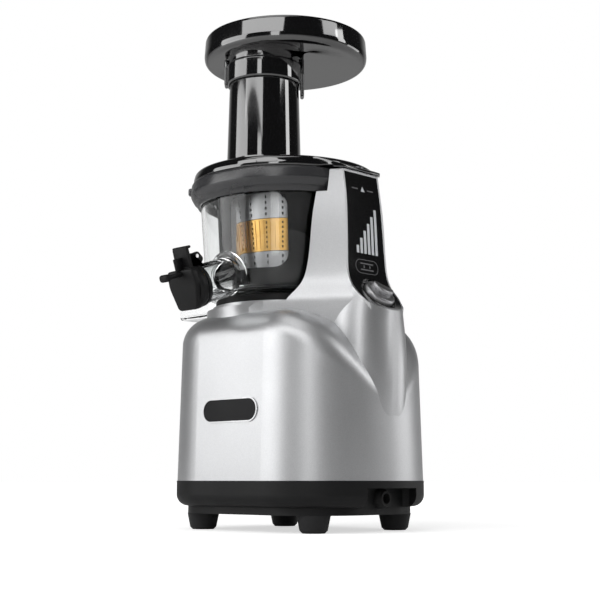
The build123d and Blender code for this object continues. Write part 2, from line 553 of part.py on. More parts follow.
def bowl_parts():
    wall = cone_shell(BOWL_Z0, BOWL_TOP, bowl_radius, BOWL_T)
    bowl = wall + disc(BOWL_R0 - 1, BOWL_Z0, BOWL_FLOOR)
    flange = extrude(spout_plane(-2) * Circle(20.5), 4.4)
    tube = extrude(spout_plane(-4) * Circle(SPOUT_R), SPOUT_LEN + 4)
    bowl += (flange + tube) - disc(bowl_radius(199) - 1.2, 150, 240)
    inside = disc(bowl_radius(188) - BOWL_T - 1.5, 150, 240)
    bowl -= extrude(spout_plane(-2.5) * Circle(SPOUT_BORE), 60) - inside
    bowl -= disc(7.2, 180, 195)
    bowl -= slab(-30, -17, -9, 9, 180, 195)

    trough = slab(CHUTE_END, -13, -CHUTE_W, CHUTE_W, CHUTE_Z0, CHUTE_Z1)
    trough -= slab(CHUTE_END - 1, -15.5, -CHUTE_W + 2.4, CHUTE_W - 2.4, CHUTE_Z0 + 2.4, CHUTE_Z1 + 1)
    trough -= disc(bowl_radius(190) - 0.6, BOWL_Z0, CHUTE_Z1 + 2)
    trough = trough.solids().sort_by(Axis.X)[0]
    bowl += trough
    save("juice_bowl", bowl)

    collar = turned([(BOWL_R1 - 3.0, 266.2), (BOWL_R1 + 3.6, 266.2), (77.4, 271), (78.0, 273.6),
                     (COLLAR_R, 274.6), (COLLAR_R, 280.6), (77.6, COLLAR_Z1), (69.6, COLLAR_Z1),
                     (69.6, 268.6), (BOWL_R1 - 3.0, 268.6)])
    collar += turned([(BOWL_R1, 262), (BOWL_R1 + 3.2, 264.5), (BOWL_R1 + 3.6, 266.2), (BOWL_R1, 266.2)])
    lug = slab(76, 87, -3, 3, 276.5, 281.5)
    collar += Rot(0, 0, -138.7) * lug
    save("bowl_collar", collar)
    save("bowl_seal", disc(7.2, BOWL_Z0 - 1.5, BOWL_FLOOR, hole=6.4))
    save("idler_pin", disc(2.5, BOWL_FLOOR, 196.2, idler_place()))

    ring = extrude(spout_plane(30) * Circle(SPOUT_R + 2.0), 7.2)
    for x in (-6.5, 6.5):
        ear = extrude(Plane(origin=(x - 1.2, 0, 0), x_dir=(0, 1, 0), z_dir=(1, 0, 0)) * ear_face(), 2.4)
        ring += ear
    ring -= hinge_rod(1.55, 20)
    ring -= extrude(spout_plane(29) * Circle(SPOUT_R), 20)
    save("spout_ring", ring)
    save("cap_pin", hinge_rod(1.5, 15.6))


def hinge_point():
    """Centre of the spout cap's hinge, in the YZ plane."""
    return spout_point(HINGE_S, HINGE_U)


def hinge_rod(r, length):
    p = hinge_point()
    return Pos(0, p.Y, p.Z) * Rot(0, 90, 0) * Cylinder(r, length)


def ear_face():
    """One ear of the hinge, seen along X: a rounded tab that reaches down into the ring."""
    p, foot = hinge_point(), spout_point(33.4, 16.2)
    hull = make_hull([e for c in (Pos(p.Y, p.Z) * Circle(3.4), Pos(foot.Y, foot.Z) * Circle(3.0))
                      for e in c.edges()])
    return hull


def cap_parts():
    gap = 0.4
    start = SPOUT_LEN + gap
    shell = extrude(spout_plane(start) * Circle(SPOUT_R + 2.0), 9.0)
    front = loft([spout_plane(start + 8.5) * RectangleRounded(33, 32, 9),
                  spout_plane(start + 14.6) * RectangleRounded(29, 29, 7)])
    cap = shell + front
    lug = extrude(Plane(origin=(-4.9, 0, 0), x_dir=(0, 1, 0), z_dir=(1, 0, 0)) * cap_lug_face(), 9.8)
    cap += lug
    cap -= hinge_rod(1.55, 20)
    save("spout_cap", cap)
    plug = extrude(spout_plane(start - 2.2) * Circle(SPOUT_BORE - 0.8), 2.2)
    save("cap_plug", plug)
    stand = spout_plane(start + 9.4)
    blade = extrude(stand * Pos(0, 24.6) * RectangleRounded(17.5, 17, 2.5), 3.0)
    finger = extrude(stand * Pos(0, 13.2) * RectangleRounded(9, 5.0, 2), 20.0)
    finger += extrude(stand.offset(18.6) * Pos(0, 13.2) * RectangleRounded(13, 5.6, 2.5), 3.4)
    save("cap_lever", (blade + finger) - cap)


def cap_lug_face():
    p, tip, foot = hinge_point(), spout_point(44.0, 20.6), spout_point(44.0, 14.5)
    bar = make_hull([e for c in (Pos(p.Y, p.Z) * Circle(3.2), Pos(tip.Y, tip.Z) * Circle(2.8))
                     for e in c.edges()])
    stem = make_hull([e for c in (Pos(foot.Y, foot.Z) * Circle(2.8), Pos(tip.Y, tip.Z) * Circle(2.8))
                      for e in c.edges()])
    return bar + stem


# ---------------------------------------------------------------- strainer, brush and auger

IDLER_ANGLE = radians(60)


def idler_place():
    d = M3 * (Z_AUGER + Z_IDLER) / 2
    return (d * cos(IDLER_ANGLE), d * sin(IDLER_ANGLE))


def strainer_radius(z):
    return cone_radius(z, 208, 268, STRAINER_R0, STRAINER_R1)


def slot_ring(z0, z1, count, width_deg, rows, gap):
    """Cutters for rows of narrow upright slots all round the strainer."""
    cutters = []
    pitch = (z1 - z0) / rows
    for i in range(count):
        angle = 360 * i / count
        for k in range(rows):
            cutters.append(sector(60, angle - width_deg / 2, angle + width_deg / 2,
                                  z0 + k * pitch + gap / 2, z0 + (k + 1) * pitch - gap / 2))
    return cutters


def strainer_parts():
    z0, z1 = STRAINER_BANDS["base"]
    base = disc(34, z0, 197.2, hole=30.5) + disc(37.5, 197.2, 200.2)
    base += cone_shell(200.2, z1, lambda z: 37.5 + (z - 200.2) * 0.09, 3.0)
    window = degrees(IDLER_ANGLE)
    base -= sector(50, window - 31, window + 31, z0 - 1, 196.8)
    base -= disc(9.9, 196, 202)
    duct = slab(-30, -17, -9, 9, z0, 197.2) - slab(-28, -19, -7, 7, z0 - 1, 204)
    base += duct
    base -= slab(-28, -19, -7, 7, 190, 204)
    save("strainer_base", base)

    for name, (low, high), rows in (("strainer_mesh_low", STRAINER_BANDS["mesh_low"], 1),
                                    ("strainer_band", STRAINER_BANDS["band"], 2),
                                    ("strainer_mesh_top", STRAINER_BANDS["mesh_top"], 2)):
        shell = cone_shell(low, high, strainer_radius, STRAINER_T)
        for cutter in slot_ring(low + 1.5, high - 1.5, 12, 2.2, rows, 1.6):
            shell -= cutter
        save(name, shell)


def cage_radius(z):
    return cone_radius(z, CAGE_Z0, CAGE_Z1, CAGE_R0, CAGE_R1)


def brush_parts():
    cage = cone_shell(CAGE_Z0, CAGE_Z1, cage_radius, CAGE_T)
    pitch = 360 / CAGE_WINDOWS
    for i in range(CAGE_WINDOWS):
        middle = CAGE_PHASE + pitch * i
        view = Plane(origin=(0, 0, 0), x_dir=(-sin(radians(middle)), cos(radians(middle)), 0),
                     z_dir=(cos(radians(middle)), sin(radians(middle)), 0))
        width = 2 * CAGE_R0 * sin(radians(WINDOW_DEG / 2))
        cage -= extrude(view * Pos(0, 231) * RectangleRounded(width, 51, 9), 80)
    foot = disc(CAGE_R0 - 1.0, CAGE_Z0, CAGE_Z0 + 2.0, hole=41.0)
    hub = disc(42.5, 189.8, CAGE_Z0 + 2.0)
    teeth = gear_outline(M3, Z_RING, IDLER_ANGLE + pi / Z_RING, -BACKLASH, addendum=1.25, dedendum=1.0)
    hub -= extrude(Plane.XY.offset(180) * make_face(teeth), 16.2)
    hub -= disc(39.5, 195.5, 210)
    save("brush_frame", cage + foot + hub)
    wipers = []
    for i in range(CAGE_WINDOWS):
        middle = CAGE_PHASE + pitch * (i + 0.5)
        if i % 2 == 0:
            inner = slab(46.8, CAGE_R0 - 2.2, -0.9, 0.9, 210, 258)
            wipers.append(Rot(0, 0, middle) * (inner - cone_shell(CAGE_Z0, CAGE_Z1, cage_radius, CAGE_T)))
    save("brush_wipers", *wipers)
    save("idler_gear", gear(M3, Z_IDLER, IDLER_ANGLE + pi + pi / Z_IDLER, 190, 195.4, idler_place(),
                            bore=2.55))


def auger_parts():
    core = turned([(0, AUGER_Z0), (24, AUGER_Z0), (13, 262), (6, 270), (6, 276), (0, 276)])
    lobe = Ellipse(AUGER_R, 7.5)
    flight = Solid.extrude_linear_with_rotation(
        (Plane.XY.offset(AUGER_Z0) * lobe).face(), center=(0, 0, AUGER_Z0),
        normal=(0, 0, AUGER_Z1 - AUGER_Z0 - 8), angle=300)
    screw = core + flight + disc(9.2, 196.2, AUGER_Z0)
    socket = extrude(Plane.XY.offset(180) * RegularPolygon(HEX_AF / 2 + 0.2, 6, major_radius=False), 36.5)
    save("auger_screw", screw - socket)
    pinion = gear(M3, Z_AUGER, IDLER_ANGLE, 189.8, 196.2)
    save("auger_pinion", pinion - socket)
    save("auger_pin", disc(3.0, 276, 281.5))


# ---------------------------------------------------------------- lid and hopper

def feed_radius(z):
    return cone_radius(z, LID_Z1, FEED_Z1, FEED_R0, FEED_R1)


def lid_parts():
    lid = disc(LID_R, LID_Z0, LID_Z1)
    lid = fillet(lid.edges().group_by(Axis.Z)[-1], 3.2)
    lid += disc(69.2, 270, LID_Z0, hole=66.4)
    tongue_view = Plane.XZ * make_face(Polyline((40, LID_Z0), (79.8, LID_Z0), (79.8, 280.9), (86.2, 280.9),
                                                (86.2, 282.6), (70, 290.6), (40, 290.6), close=True))
    tongue = extrude(tongue_view, amount=30, both=True)
    tongue &= extrude(Plane.XY.offset(270) * make_face(
        Polyline((40, -40), (66, -35), (86.4, -21.6), (86.4, 21.6), (66, 35), (40, 40), close=True)), 30)
    lid += tongue
    for a in (-56.2, 123.8):
        lid -= Rot(0, 0, a) * slab(75.4, 80, -9, 9, 284.6, 293)
    foot = LID_Z0 + 0.1
    feed = turned([(feed_radius(foot), foot), (feed_radius(FEED_Z1), FEED_Z1), (0, FEED_Z1), (0, foot)],
                  FEED_AT)
    top_bore = feed_radius(FEED_Z1) - FEED_T
    bore = turned([(feed_radius(270) - FEED_T, 270), (top_bore, FEED_Z1), (top_bore, 395),
                   (0, 395), (0, 270)], FEED_AT)
    lid = lid + feed - bore
    boss = disc(6.0, 276.6, LID_Z1 - 1) - disc(3.08, 270, 283)
    lid += boss
    magnet = disc(4.0, 281.6, 284.6, (82.0, 0))
    save("feed_lid", lid - magnet)
    save("lid_magnet", magnet)


def hopper_parts():
    hopper = turned([(0, HOPPER_Z0), (61.6, HOPPER_Z0), (65.8, 388.4), (TRAY_R, 393.5), (TRAY_R - 0.6, 406.4),
                     (TRAY_R - 1.8, HOPPER_Z1), (TRAY_R - 3.6, 406.6), (TRAY_R - 4.4, 394), (62.4, 391.2),
                     (59.5, 389.6), (0, 389.6)])
    hopper += disc(NECK_R, NECK_Z0, 390, FEED_AT)
    hopper -= disc(NECK_R - NECK_T, NECK_Z0 - 2, 388.4, FEED_AT)
    hopper -= disc(feed_radius(FEED_Z1) - FEED_T, 370, 400, FEED_AT)
    for a in (225, 45):
        tab = slab(NECK_R - NECK_T, NECK_R + 0.9, -6, 6, 362, 384)
        tab = fillet(tab.edges().filter_by(Axis.X), 2.5)
        hopper += Pos(FEED_AT[0], FEED_AT[1], 0) * Rot(0, 0, a) * tab
    hopper -= disc(NECK_R - NECK_T, 360, 372, FEED_AT)
    save("hopper_tray", hopper)


os.makedirs("parts", exist_ok=True)
housing_parts()
base_parts()
electronics()
motor_parts()
gearbox_parts()
deck_parts()
bowl_parts()
cap_parts()
strainer_parts()
brush_parts()
auger_parts()
lid_parts()
hopper_parts()
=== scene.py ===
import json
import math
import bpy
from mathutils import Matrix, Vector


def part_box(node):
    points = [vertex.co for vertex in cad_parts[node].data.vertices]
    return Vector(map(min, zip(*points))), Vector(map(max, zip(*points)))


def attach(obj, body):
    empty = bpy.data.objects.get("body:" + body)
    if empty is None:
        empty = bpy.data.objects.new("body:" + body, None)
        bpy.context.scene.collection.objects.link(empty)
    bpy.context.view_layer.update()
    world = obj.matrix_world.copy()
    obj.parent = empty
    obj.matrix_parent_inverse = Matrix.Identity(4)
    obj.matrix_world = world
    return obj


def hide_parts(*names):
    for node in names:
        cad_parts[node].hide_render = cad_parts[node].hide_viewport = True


bl_info = {
    "name": "Cold press juicer",
    "version": (1, 0, 0),
    "blender": (4, 5, 0),
    "location": "3D View > Sidebar > Juicer",
    "description": "Dresses the juicer's frame with its finishes, its formed pieces and a small studio",
    "category": "Object",
}

import bmesh
import bpy
from bpy.props import FloatProperty, FloatVectorProperty, PointerProperty
from mathutils import Matrix, Vector
from mathutils.bvhtree import BVHTree

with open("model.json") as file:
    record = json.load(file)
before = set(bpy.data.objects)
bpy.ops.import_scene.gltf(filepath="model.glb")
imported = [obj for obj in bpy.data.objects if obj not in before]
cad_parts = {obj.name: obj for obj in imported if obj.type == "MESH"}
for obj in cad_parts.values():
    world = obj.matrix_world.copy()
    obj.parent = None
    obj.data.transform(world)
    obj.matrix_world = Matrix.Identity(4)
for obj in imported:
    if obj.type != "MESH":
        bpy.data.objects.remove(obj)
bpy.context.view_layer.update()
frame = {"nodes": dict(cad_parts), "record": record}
NODES = frame["nodes"]
MM = 0.001


def axis_from_frame():
    """The bowl's axis in plan, from the round strainer."""
    low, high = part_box("strainer_mesh_top")
    return Vector(((low.x + high.x) / 2, (low.y + high.y) / 2, 0.0))


AXIS = axis_from_frame()
FEED = AXIS + Vector((3.0, -28.0, 0.0)) * MM

RIM_STEPS, BOWL_STEPS, CAGE_STEPS, TUBE_STEPS = 160, 128, 144, 96    # steps of the turned forms
NECK_HOLE, NECK_R = 25.3, 30.3                                 # mm: hole in the tray's floor, its neck
NECK_TABS = ((225, 22.0, 373.0), (45, 32.0, 369.0))            # bearing, height and middle height, mm
SPOUT_AT, SPOUT_TILT = (0, -63.0, 199.4), 18.6                 # mm from the bowl's axis, degrees down
SPOUT_BORE, CAP_START = 12.5, 38.0                             # mm: radius, and distance along the spout
SIEVE_COLUMNS, SIEVE_PARTS, SIEVE_TURN = 20, 10, -66.8         # columns of slots, parts of each, degrees
SIEVE_EDGE, SIEVE_WALL, RIB_RISE = 1.2, 1.3, 1.012             # mm, mm, share of the radius
WINDOWS, WINDOW_TURN, WINDOW_HALF = 5, -69.0, 27.0             # number, first middle and half width, degrees
WINDOW_LOW, WINDOW_HIGH = 205.0, 264.6                         # mm
KNOB_AT = (100.9, 0, 179.8)                                    # mm from the bowl's axis


# ------------------------------------------------------------------ sizes and colours

def length(name, text, value):
    return FloatProperty(name=name, description=text, default=value, min=0.0, max=1.0,
                         unit="LENGTH", subtype="DISTANCE", precision=5)


def colour(name, text, value):
    return FloatVectorProperty(name=name, description=text, default=value, size=3, min=0.0, max=1.0,
                               subtype="COLOR")


class JuicerSizes(bpy.types.PropertyGroup):
    mark_lift: length("Print thickness", "How far the panel's print stands over the gloss", 0.00008)
    grain: length("Grain", "Size of the grain in the moulded black plastic", 0.0006)
    flake: length("Flake", "Size of the flakes in the silver paint", 0.00035)


class JuicerColours(bpy.types.PropertyGroup):
    silver: colour("Housing", "Silver paint of the housing", (0.60, 0.605, 0.615))
    black: colour("Black plastic", "Base, feet, seat and cap", (0.0085, 0.0085, 0.009))
    gloss: colour("Gloss black", "Lid, tray and control panel", (0.004, 0.004, 0.0045))
    gold: colour("Gold mesh", "The strainer's middle band", (0.50, 0.30, 0.09))
    collar: colour("Collar tint", "Smoky plastic of the bowl's collar", (0.085, 0.085, 0.09))
    cage: colour("Cage tint", "Dark smoky plastic of the brush cage", (0.008, 0.008, 0.009))
    mark: colour("Print", "Bright marks on the control panel", (0.60, 0.62, 0.64))
    field: colour("Dull print", "Faint marks on the control panel", (0.10, 0.10, 0.105))


def sizes():
    return bpy.context.scene.juicer_sizes


def colours():
    return bpy.context.scene.juicer_colours


# ------------------------------------------------------------------ node helpers

def put(tree, kind, set_up=None, **inputs):
    """Adds a node. Values go to its named inputs, and sockets are linked to them."""
    made = tree.nodes.new(kind)
    for key, value in (set_up or {}).items():
        setattr(made, key, value)
    for key, value in inputs.items():
        socket = made.inputs[int(key[1:])] if key[0] == "_" else made.inputs[key.replace("_", " ")]
        if isinstance(value, bpy.types.NodeSocket):
            tree.links.new(value, socket)
        else:
            socket.default_value = value
    return made


def sums(tree, operation, a, b=0.5, c=0.5):
    return put(tree, "ShaderNodeMath", {"operation": operation}, _0=a, _1=b, _2=c).outputs[0]


def object_place(tree, scale=(1, 1, 1), turn=(0, 0, 0), shift=(0, 0, 0)):
    place = put(tree, "ShaderNodeTexCoord").outputs["Object"]
    return put(tree, "ShaderNodeMapping", Vector=place, Scale=scale, Rotation=turn, Location=shift).outputs[0]


def new_group(name, inputs, outputs):
    group = bpy.data.node_groups.new(name, "ShaderNodeTree")
    for label, kind, value in inputs:
        socket = group.interface.new_socket(label, in_out="INPUT", socket_type=kind)
        if value is not None:
            socket.default_value = value
    for label, kind in outputs:
        group.interface.new_socket(label, in_out="OUTPUT", socket_type=kind)
    return group, group.nodes.new("NodeGroupInput"), group.nodes.new("NodeGroupOutput")


def grain_group():
    """Fine grain, as spark erosion leaves it in a mould: a height and the same as a mask."""
    group, source, result = new_group(
        "Moulded grain", [("Size", "NodeSocketFloat", 0.0006), ("Depth", "NodeSocketFloat", 0.3)],
        [("Normal", "NodeSocketVector"), ("Mask", "NodeSocketFloat")])
    scale = sums(group, "DIVIDE", 1.0, source.outputs["Size"])
    place = object_place(group)
    fine = put(group, "ShaderNodeTexNoise", Vector=place, Scale=scale, Detail=2.0, Roughness=0.6)
    pits = put(group, "ShaderNodeTexVoronoi", {"feature": "SMOOTH_F1"}, Vector=place,
               Scale=sums(group, "MULTIPLY", scale, 0.7))
    height = sums(group, "MULTIPLY_ADD", pits.outputs["Distance"], 0.5, fine.outputs["Fac"])
    bump = put(group, "ShaderNodeBump", Height=height, Strength=source.outputs["Depth"], Distance=0.00006)
    group.links.new(bump.outputs[0], result.inputs["Normal"])
    group.links.new(fine.outputs["Fac"], result.inputs["Mask"])
    return group


def mottle_group():
    """A soft drift of a value over the surface, such as the haze that hands leave on gloss."""
    group, source, result = new_group(
        "Soft drift", [("Scale", "NodeSocketFloat", 20.0), ("Low", "NodeSocketFloat", 0.2),
                       ("High", "NodeSocketFloat", 0.3)], [("Value", "NodeSocketFloat")])
    place = object_place(group)
    wide = put(group, "ShaderNodeTexNoise", Vector=place, Scale=source.outputs["Scale"], Detail=4.0,
               Roughness=0.55, Distortion=0.3)
    low, high = source.outputs["Low"], source.outputs["High"]
    span = put(group, "ShaderNodeMapRange", {"interpolation_type": "SMOOTHSTEP"},
               Value=wide.outputs["Fac"], From_Min=0.3, From_Max=0.7, To_Min=low, To_Max=high)
    group.links.new(span.outputs[0], result.inputs["Value"])
    return group


def brushed_group():
    """Fine lines along one direction: a value between 0 and 1 and a normal."""
    group, source, result = new_group(
        "Brushed lines", [("Stretch", "NodeSocketVector", (1, 1, 1)), ("Depth", "NodeSocketFloat", 0.2)],
        [("Normal", "NodeSocketVector"), ("Lines", "NodeSocketFloat")])
    place = put(group, "ShaderNodeTexCoord").outputs["Object"]
    stretched = put(group, "ShaderNodeVectorMath", {"operation": "MULTIPLY"}, _0=place,
                    _1=source.outputs["Stretch"])
    lines = put(group, "ShaderNodeTexNoise", Vector=stretched.outputs[0], Scale=1.0, Detail=3.0,
                Roughness=0.6)
    bump = put(group, "ShaderNodeBump", Height=lines.outputs["Fac"], Strength=source.outputs["Depth"],
               Distance=0.00003)
    group.links.new(bump.outputs[0], result.inputs["Normal"])
    group.links.new(lines.outputs["Fac"], result.inputs["Lines"])
    return group


def shared(name):
    """The node group of that name, built when it is first asked for."""
    builders = {"Moulded grain": grain_group, "Soft drift": mottle_group, "Brushed lines": brushed_group}
    return bpy.data.node_groups.get(name) or builders[name]()


def use(tree, name, **inputs):
    return put(tree, "ShaderNodeGroup", {"node_tree": shared(name)}, **inputs)


def start(name):
    """A material with an empty Principled surface, its tree and that surface."""
    made = bpy.data.materials.new(name)
    made.use_nodes = True
    tree = made.node_tree
    surface = next(n for n in tree.nodes if n.type == "BSDF_PRINCIPLED")
    return made, tree, surface


def fill(tree, surface, **inputs):
    for key, value in inputs.items():
        socket = surface.inputs[key.replace("_", " ")]
        if isinstance(value, bpy.types.NodeSocket):
            tree.links.new(value, socket)
        else:
            socket.default_value = value


def shade(tree, tint, amount, mask):
    """The tint, darker and lighter by amount where the mask is low and high."""
    low = [c * (1 - amount) for c in tint] + [1.0]
    high = [min(1.0, c * (1 + amount)) for c in tint] + [1.0]
    return put(tree, "ShaderNodeMix", {"data_type": "RGBA"}, _0=mask, _6=low, _7=high).outputs[2]


# ------------------------------------------------------------------ finishes

def moulded(name, tint, roughness=(0.42, 0.52), depth=0.35, specular=0.25):
    """Moulded plastic or rubber with a fine grain and a soft drift in its gloss."""
    made, tree, surface = start(name)
    grain = use(tree, "Moulded grain", Size=sizes().grain, Depth=depth)
    drift = use(tree, "Soft drift", Scale=24.0, Low=roughness[0], High=roughness[1])
    fill(tree, surface, Base_Color=shade(tree, tint, 0.10, grain.outputs["Mask"]),
         Roughness=drift.outputs["Value"], Normal=grain.outputs["Normal"])
    surface.inputs["Specular IOR Level"].default_value = specular
    return made


def gloss(name, tint):
    """High-gloss black plastic: nearly a mirror, with the slight waviness of a moulding."""
    made, tree, surface = start(name)
    drift = use(tree, "Soft drift", Scale=14.0, Low=0.045, High=0.10)
    wave = use(tree, "Moulded grain", Size=0.03, Depth=0.05)
    fill(tree, surface, Base_Color=shade(tree, tint, 0.15, wave.outputs["Mask"]),
         Roughness=drift.outputs["Value"], Normal=wave.outputs["Normal"], IOR=1.7, Coat_Weight=0.8,
         Coat_Roughness=0.03)
    surface.inputs["Specular IOR Level"].default_value = 0.9
    return made


def satin_paint(name, tint):
    """Silver paint: flakes under a thin satin lacquer."""
    made, tree, surface = start(name)
    flakes = put(tree, "ShaderNodeTexVoronoi", Vector=object_place(tree), Scale=1.0 / sizes().flake)
    glint = put(tree, "ShaderNodeSeparateColor", Color=flakes.outputs["Color"]).outputs[0]
    grain = use(tree, "Moulded grain", Size=sizes().flake * 1.5, Depth=0.10)
    drift = use(tree, "Soft drift", Scale=9.0, Low=0.36, High=0.42)
    fill(tree, surface, Base_Color=shade(tree, tint, 0.06, glint), Metallic=0.80,
         Roughness=drift.outputs["Value"], Normal=grain.outputs["Normal"], Coat_Weight=0.12,
         Coat_Roughness=0.25)
    return made


def metal(name, tint, roughness=(0.22, 0.34), stretch=(300, 300, 4000), depth=0.25):
    """Bare metal with fine machining or brushing lines."""
    made, tree, surface = start(name)
    lines = use(tree, "Brushed lines", Stretch=stretch, Depth=depth)
    drift = use(tree, "Soft drift", Scale=40.0, Low=roughness[0], High=roughness[1])
    fill(tree, surface, Base_Color=shade(tree, tint, 0.10, lines.outputs["Lines"]), Metallic=1.0,
         Roughness=drift.outputs["Value"], Normal=lines.outputs["Normal"])
    return made


def clear(name, tint, roughness=(0.01, 0.035), weight=1.0, ior=1.49):
    """Clear or tinted plastic that light passes through."""
    made, tree, surface = start(name)
    drift = use(tree, "Soft drift", Scale=18.0, Low=roughness[0], High=roughness[1])
    wave = use(tree, "Moulded grain", Size=0.02, Depth=0.04)
    fill(tree, surface, Base_Color=shade(tree, tint, 0.02, wave.outputs["Mask"]),
         Roughness=drift.outputs["Value"], Normal=wave.outputs["Normal"], Transmission_Weight=weight, IOR=ior)
    return made


def ink(name, tint, spread, roughness, metallic=0.0):
    """Printed ink with a slight tooth."""
    made, tree, surface = start(name)
    grain = use(tree, "Moulded grain", Size=0.0004, Depth=0.05)
    drift = use(tree, "Soft drift", Scale=60.0, Low=roughness[0], High=roughness[1])
    fill(tree, surface, Base_Color=shade(tree, tint, spread, grain.outputs["Mask"]), Metallic=metallic,
         Roughness=drift.outputs["Value"], Normal=grain.outputs["Normal"])
    return made


def finishes():
    """Every finish by the record's slot name."""
    c = colours()
    return {
        "silver_housing": lambda: satin_paint("Silver paint", c.silver),
        "black_gloss": lambda: gloss("Gloss black", c.gloss),
        "black_plastic": lambda: moulded("Black plastic", c.black),
        "silver_trim": lambda: metal("Satin aluminium", (0.52, 0.52, 0.53), (0.26, 0.34)),
        "white_plastic": lambda: moulded("Natural nylon", (0.70, 0.69, 0.64), (0.35, 0.45), depth=0.15),
        "grey_plastic": lambda: moulded("Filled nylon", (0.16, 0.16, 0.17), (0.45, 0.6)),
        "steel": lambda: metal("Plain steel", (0.58, 0.58, 0.59)),
        "dark_steel": lambda: metal("Oiled steel", (0.24, 0.24, 0.25), (0.3, 0.45)),
        "cast_alloy": lambda: metal("Die-cast alloy", (0.50, 0.50, 0.51), (0.4, 0.55), (900, 900, 900), 0.5),
        "copper": lambda: metal("Enamelled wire", (0.55, 0.22, 0.09), (0.2, 0.3), (60, 60, 3000), 0.8),
        "bronze": lambda: metal("Sintered bronze", (0.46, 0.30, 0.13), (0.35, 0.5), (1500, 1500, 1500), 0.4),
        "board_green": lambda: moulded("Circuit board", (0.02, 0.13, 0.05), (0.25, 0.35), depth=0.1),
        "black_rubber": lambda: moulded("Moulded rubber", (0.018, 0.018, 0.018), (0.6, 0.75)),
        "foot_rubber": lambda: moulded("Foot rubber", (0.022, 0.022, 0.023), (0.45, 0.58), depth=0.25),
        "silicone": lambda: moulded("Soft silicone", (0.30, 0.30, 0.31), (0.4, 0.5), depth=0.15),
        "clear_bowl": lambda: clear("Clear copolyester", (0.93, 0.94, 0.94), ior=1.32),
        "smoky_clear": lambda: clear("Smoky collar plastic", c.collar, (0.20, 0.28), 0.55, 1.6),
        "gold_mesh": lambda: metal("Gold-coated mesh", c.gold, (0.28, 0.40), (2500, 2500, 300), 0.4),
        "dark_auger": lambda: moulded("Auger plastic", (0.035, 0.035, 0.04), (0.3, 0.4), depth=0.2),
    }


def finish_of(slot):
    """The one material of a slot, made when it is first used."""
    name = "juicer_" + slot
    found = bpy.data.materials.get(name)
    if found is None:
        found = finishes()[slot]()
        found.name = name
    return found


def mesh_object(name, bm):
    """A mesh object from a bmesh, linked to the scene."""
    mesh = bpy.data.meshes.new(name)
    bm.to_mesh(mesh)
    bm.free()
    made = bpy.data.objects.new(name, mesh)
    bpy.context.scene.collection.objects.link(made)
    return made


# ------------------------------------------------------------------ forms

def point(x, y, z):
    """A point given in mm from the bowl's axis, in the frame."""
    return AXIS + Vector((x, y, z)) * MM


def spun(profile, steps=TUBE_STEPS, closed=True):
    """A form turned about the Z axis, from (radius, height) or (radius, height, rounding) in mm."""
    bm = bmesh.new()
    verts = [bm.verts.new((p[0] * MM, 0.0, p[1] * MM)) for p in profile]
    pairs = list(zip(verts, verts[1:])) + ([(verts[-1], verts[0])] if closed else [])
    for a, b in pairs:
        bm.edges.new((a, b))
    for vert, corner in zip(verts, profile):
        if len(corner) > 2:
            bmesh.ops.bevel(bm, geom=[vert], offset=corner[2] * MM, offset_type="OFFSET", segments=5,
                            profile=0.5, affect="VERTICES", material=-1)
    bmesh.ops.spin(bm, geom=bm.verts[:] + bm.edges[:], cent=(0, 0, 0), axis=(0, 0, 1), angle=math.tau,
                   steps=steps, use_merge=True, use_duplicate=False)
    bmesh.ops.remove_doubles(bm, verts=bm.verts, dist=1e-6)
    bmesh.ops.recalc_face_normals(bm, faces=bm.faces)
    return bm


def block(size, place=(0, 0, 0), rounding=0.0, segments=3):
    """A box by its size and middle, in mm, with rounded edges."""
    bm = bmesh.new()
    bmesh.ops.create_cube(bm, size=1.0)
    bmesh.ops.scale(bm, vec=Vector(size) * MM, verts=bm.verts)
    if rounding:
        bmesh.ops.bevel(bm, geom=bm.edges[:], offset=rounding * MM, offset_type="OFFSET", segments=segments,
                        profile=0.5, affect="EDGES", material=-1)
    bmesh.ops.translate(bm, vec=Vector(place) * MM, verts=bm.verts)
    return bm


def plate(outline, thickness, rounding=0.0, corners=0.0):
    """A flat plate in its own XY plane from an outline in mm, up from Z 0, with soft edges."""
    bm = bmesh.new()
    face = bm.faces.new([bm.verts.new((x * MM, y * MM, 0.0)) for x, y in outline])
    if corners:
        bmesh.ops.bevel(bm, geom=bm.verts[:], offset=corners * MM, offset_type="OFFSET", segments=6,
                        profile=0.5, affect="VERTICES", material=-1)
        face = bm.faces[:][0]
    grown = bmesh.ops.extrude_face_region(bm, geom=[face])
    top = [g for g in grown["geom"] if isinstance(g, bmesh.types.BMVert)]
    bmesh.ops.translate(bm, vec=(0, 0, thickness * MM), verts=top)
    bmesh.ops.recalc_face_normals(bm, faces=bm.faces)
    if rounding:
        rim = [e for e in bm.edges if all(v.co.z > (thickness - 0.001) * MM for v in e.verts)]
        bmesh.ops.bevel(bm, geom=rim, offset=rounding * MM, offset_type="OFFSET", segments=3,
                        profile=0.5, affect="EDGES", material=-1)
    return bm


def placed(bm, matrix):
    bmesh.ops.transform(bm, matrix=matrix, verts=bm.verts)
    return bm


def on_axis(bm):
    return placed(bm, Matrix.Translation(AXIS))


def on_feed(bm):
    return placed(bm, Matrix.Translation(FEED))


def on_edge(bm, x):
    """Stands a plate on edge along the spout, x mm to the side."""
    return placed(bm, Matrix(((0, 0, 1, x * MM), (0, 1, 0, 0), (1, 0, 0, 0), (0, 0, 0, 1))))


def cylinder(radius, low, high, steps=TUBE_STEPS):
    """A closed round tool between two heights; the radius is one number or one for each end."""
    below, above = radius if isinstance(radius, tuple) else (radius, radius)
    return spun([(0, low), (below, low), (above, high), (0, high)], steps, False)


def taken(obj):
    """The object's mesh as a bmesh, in place of the object."""
    bm = bmesh.new()
    bm.from_mesh(obj.data)
    bpy.data.objects.remove(obj)
    return bm


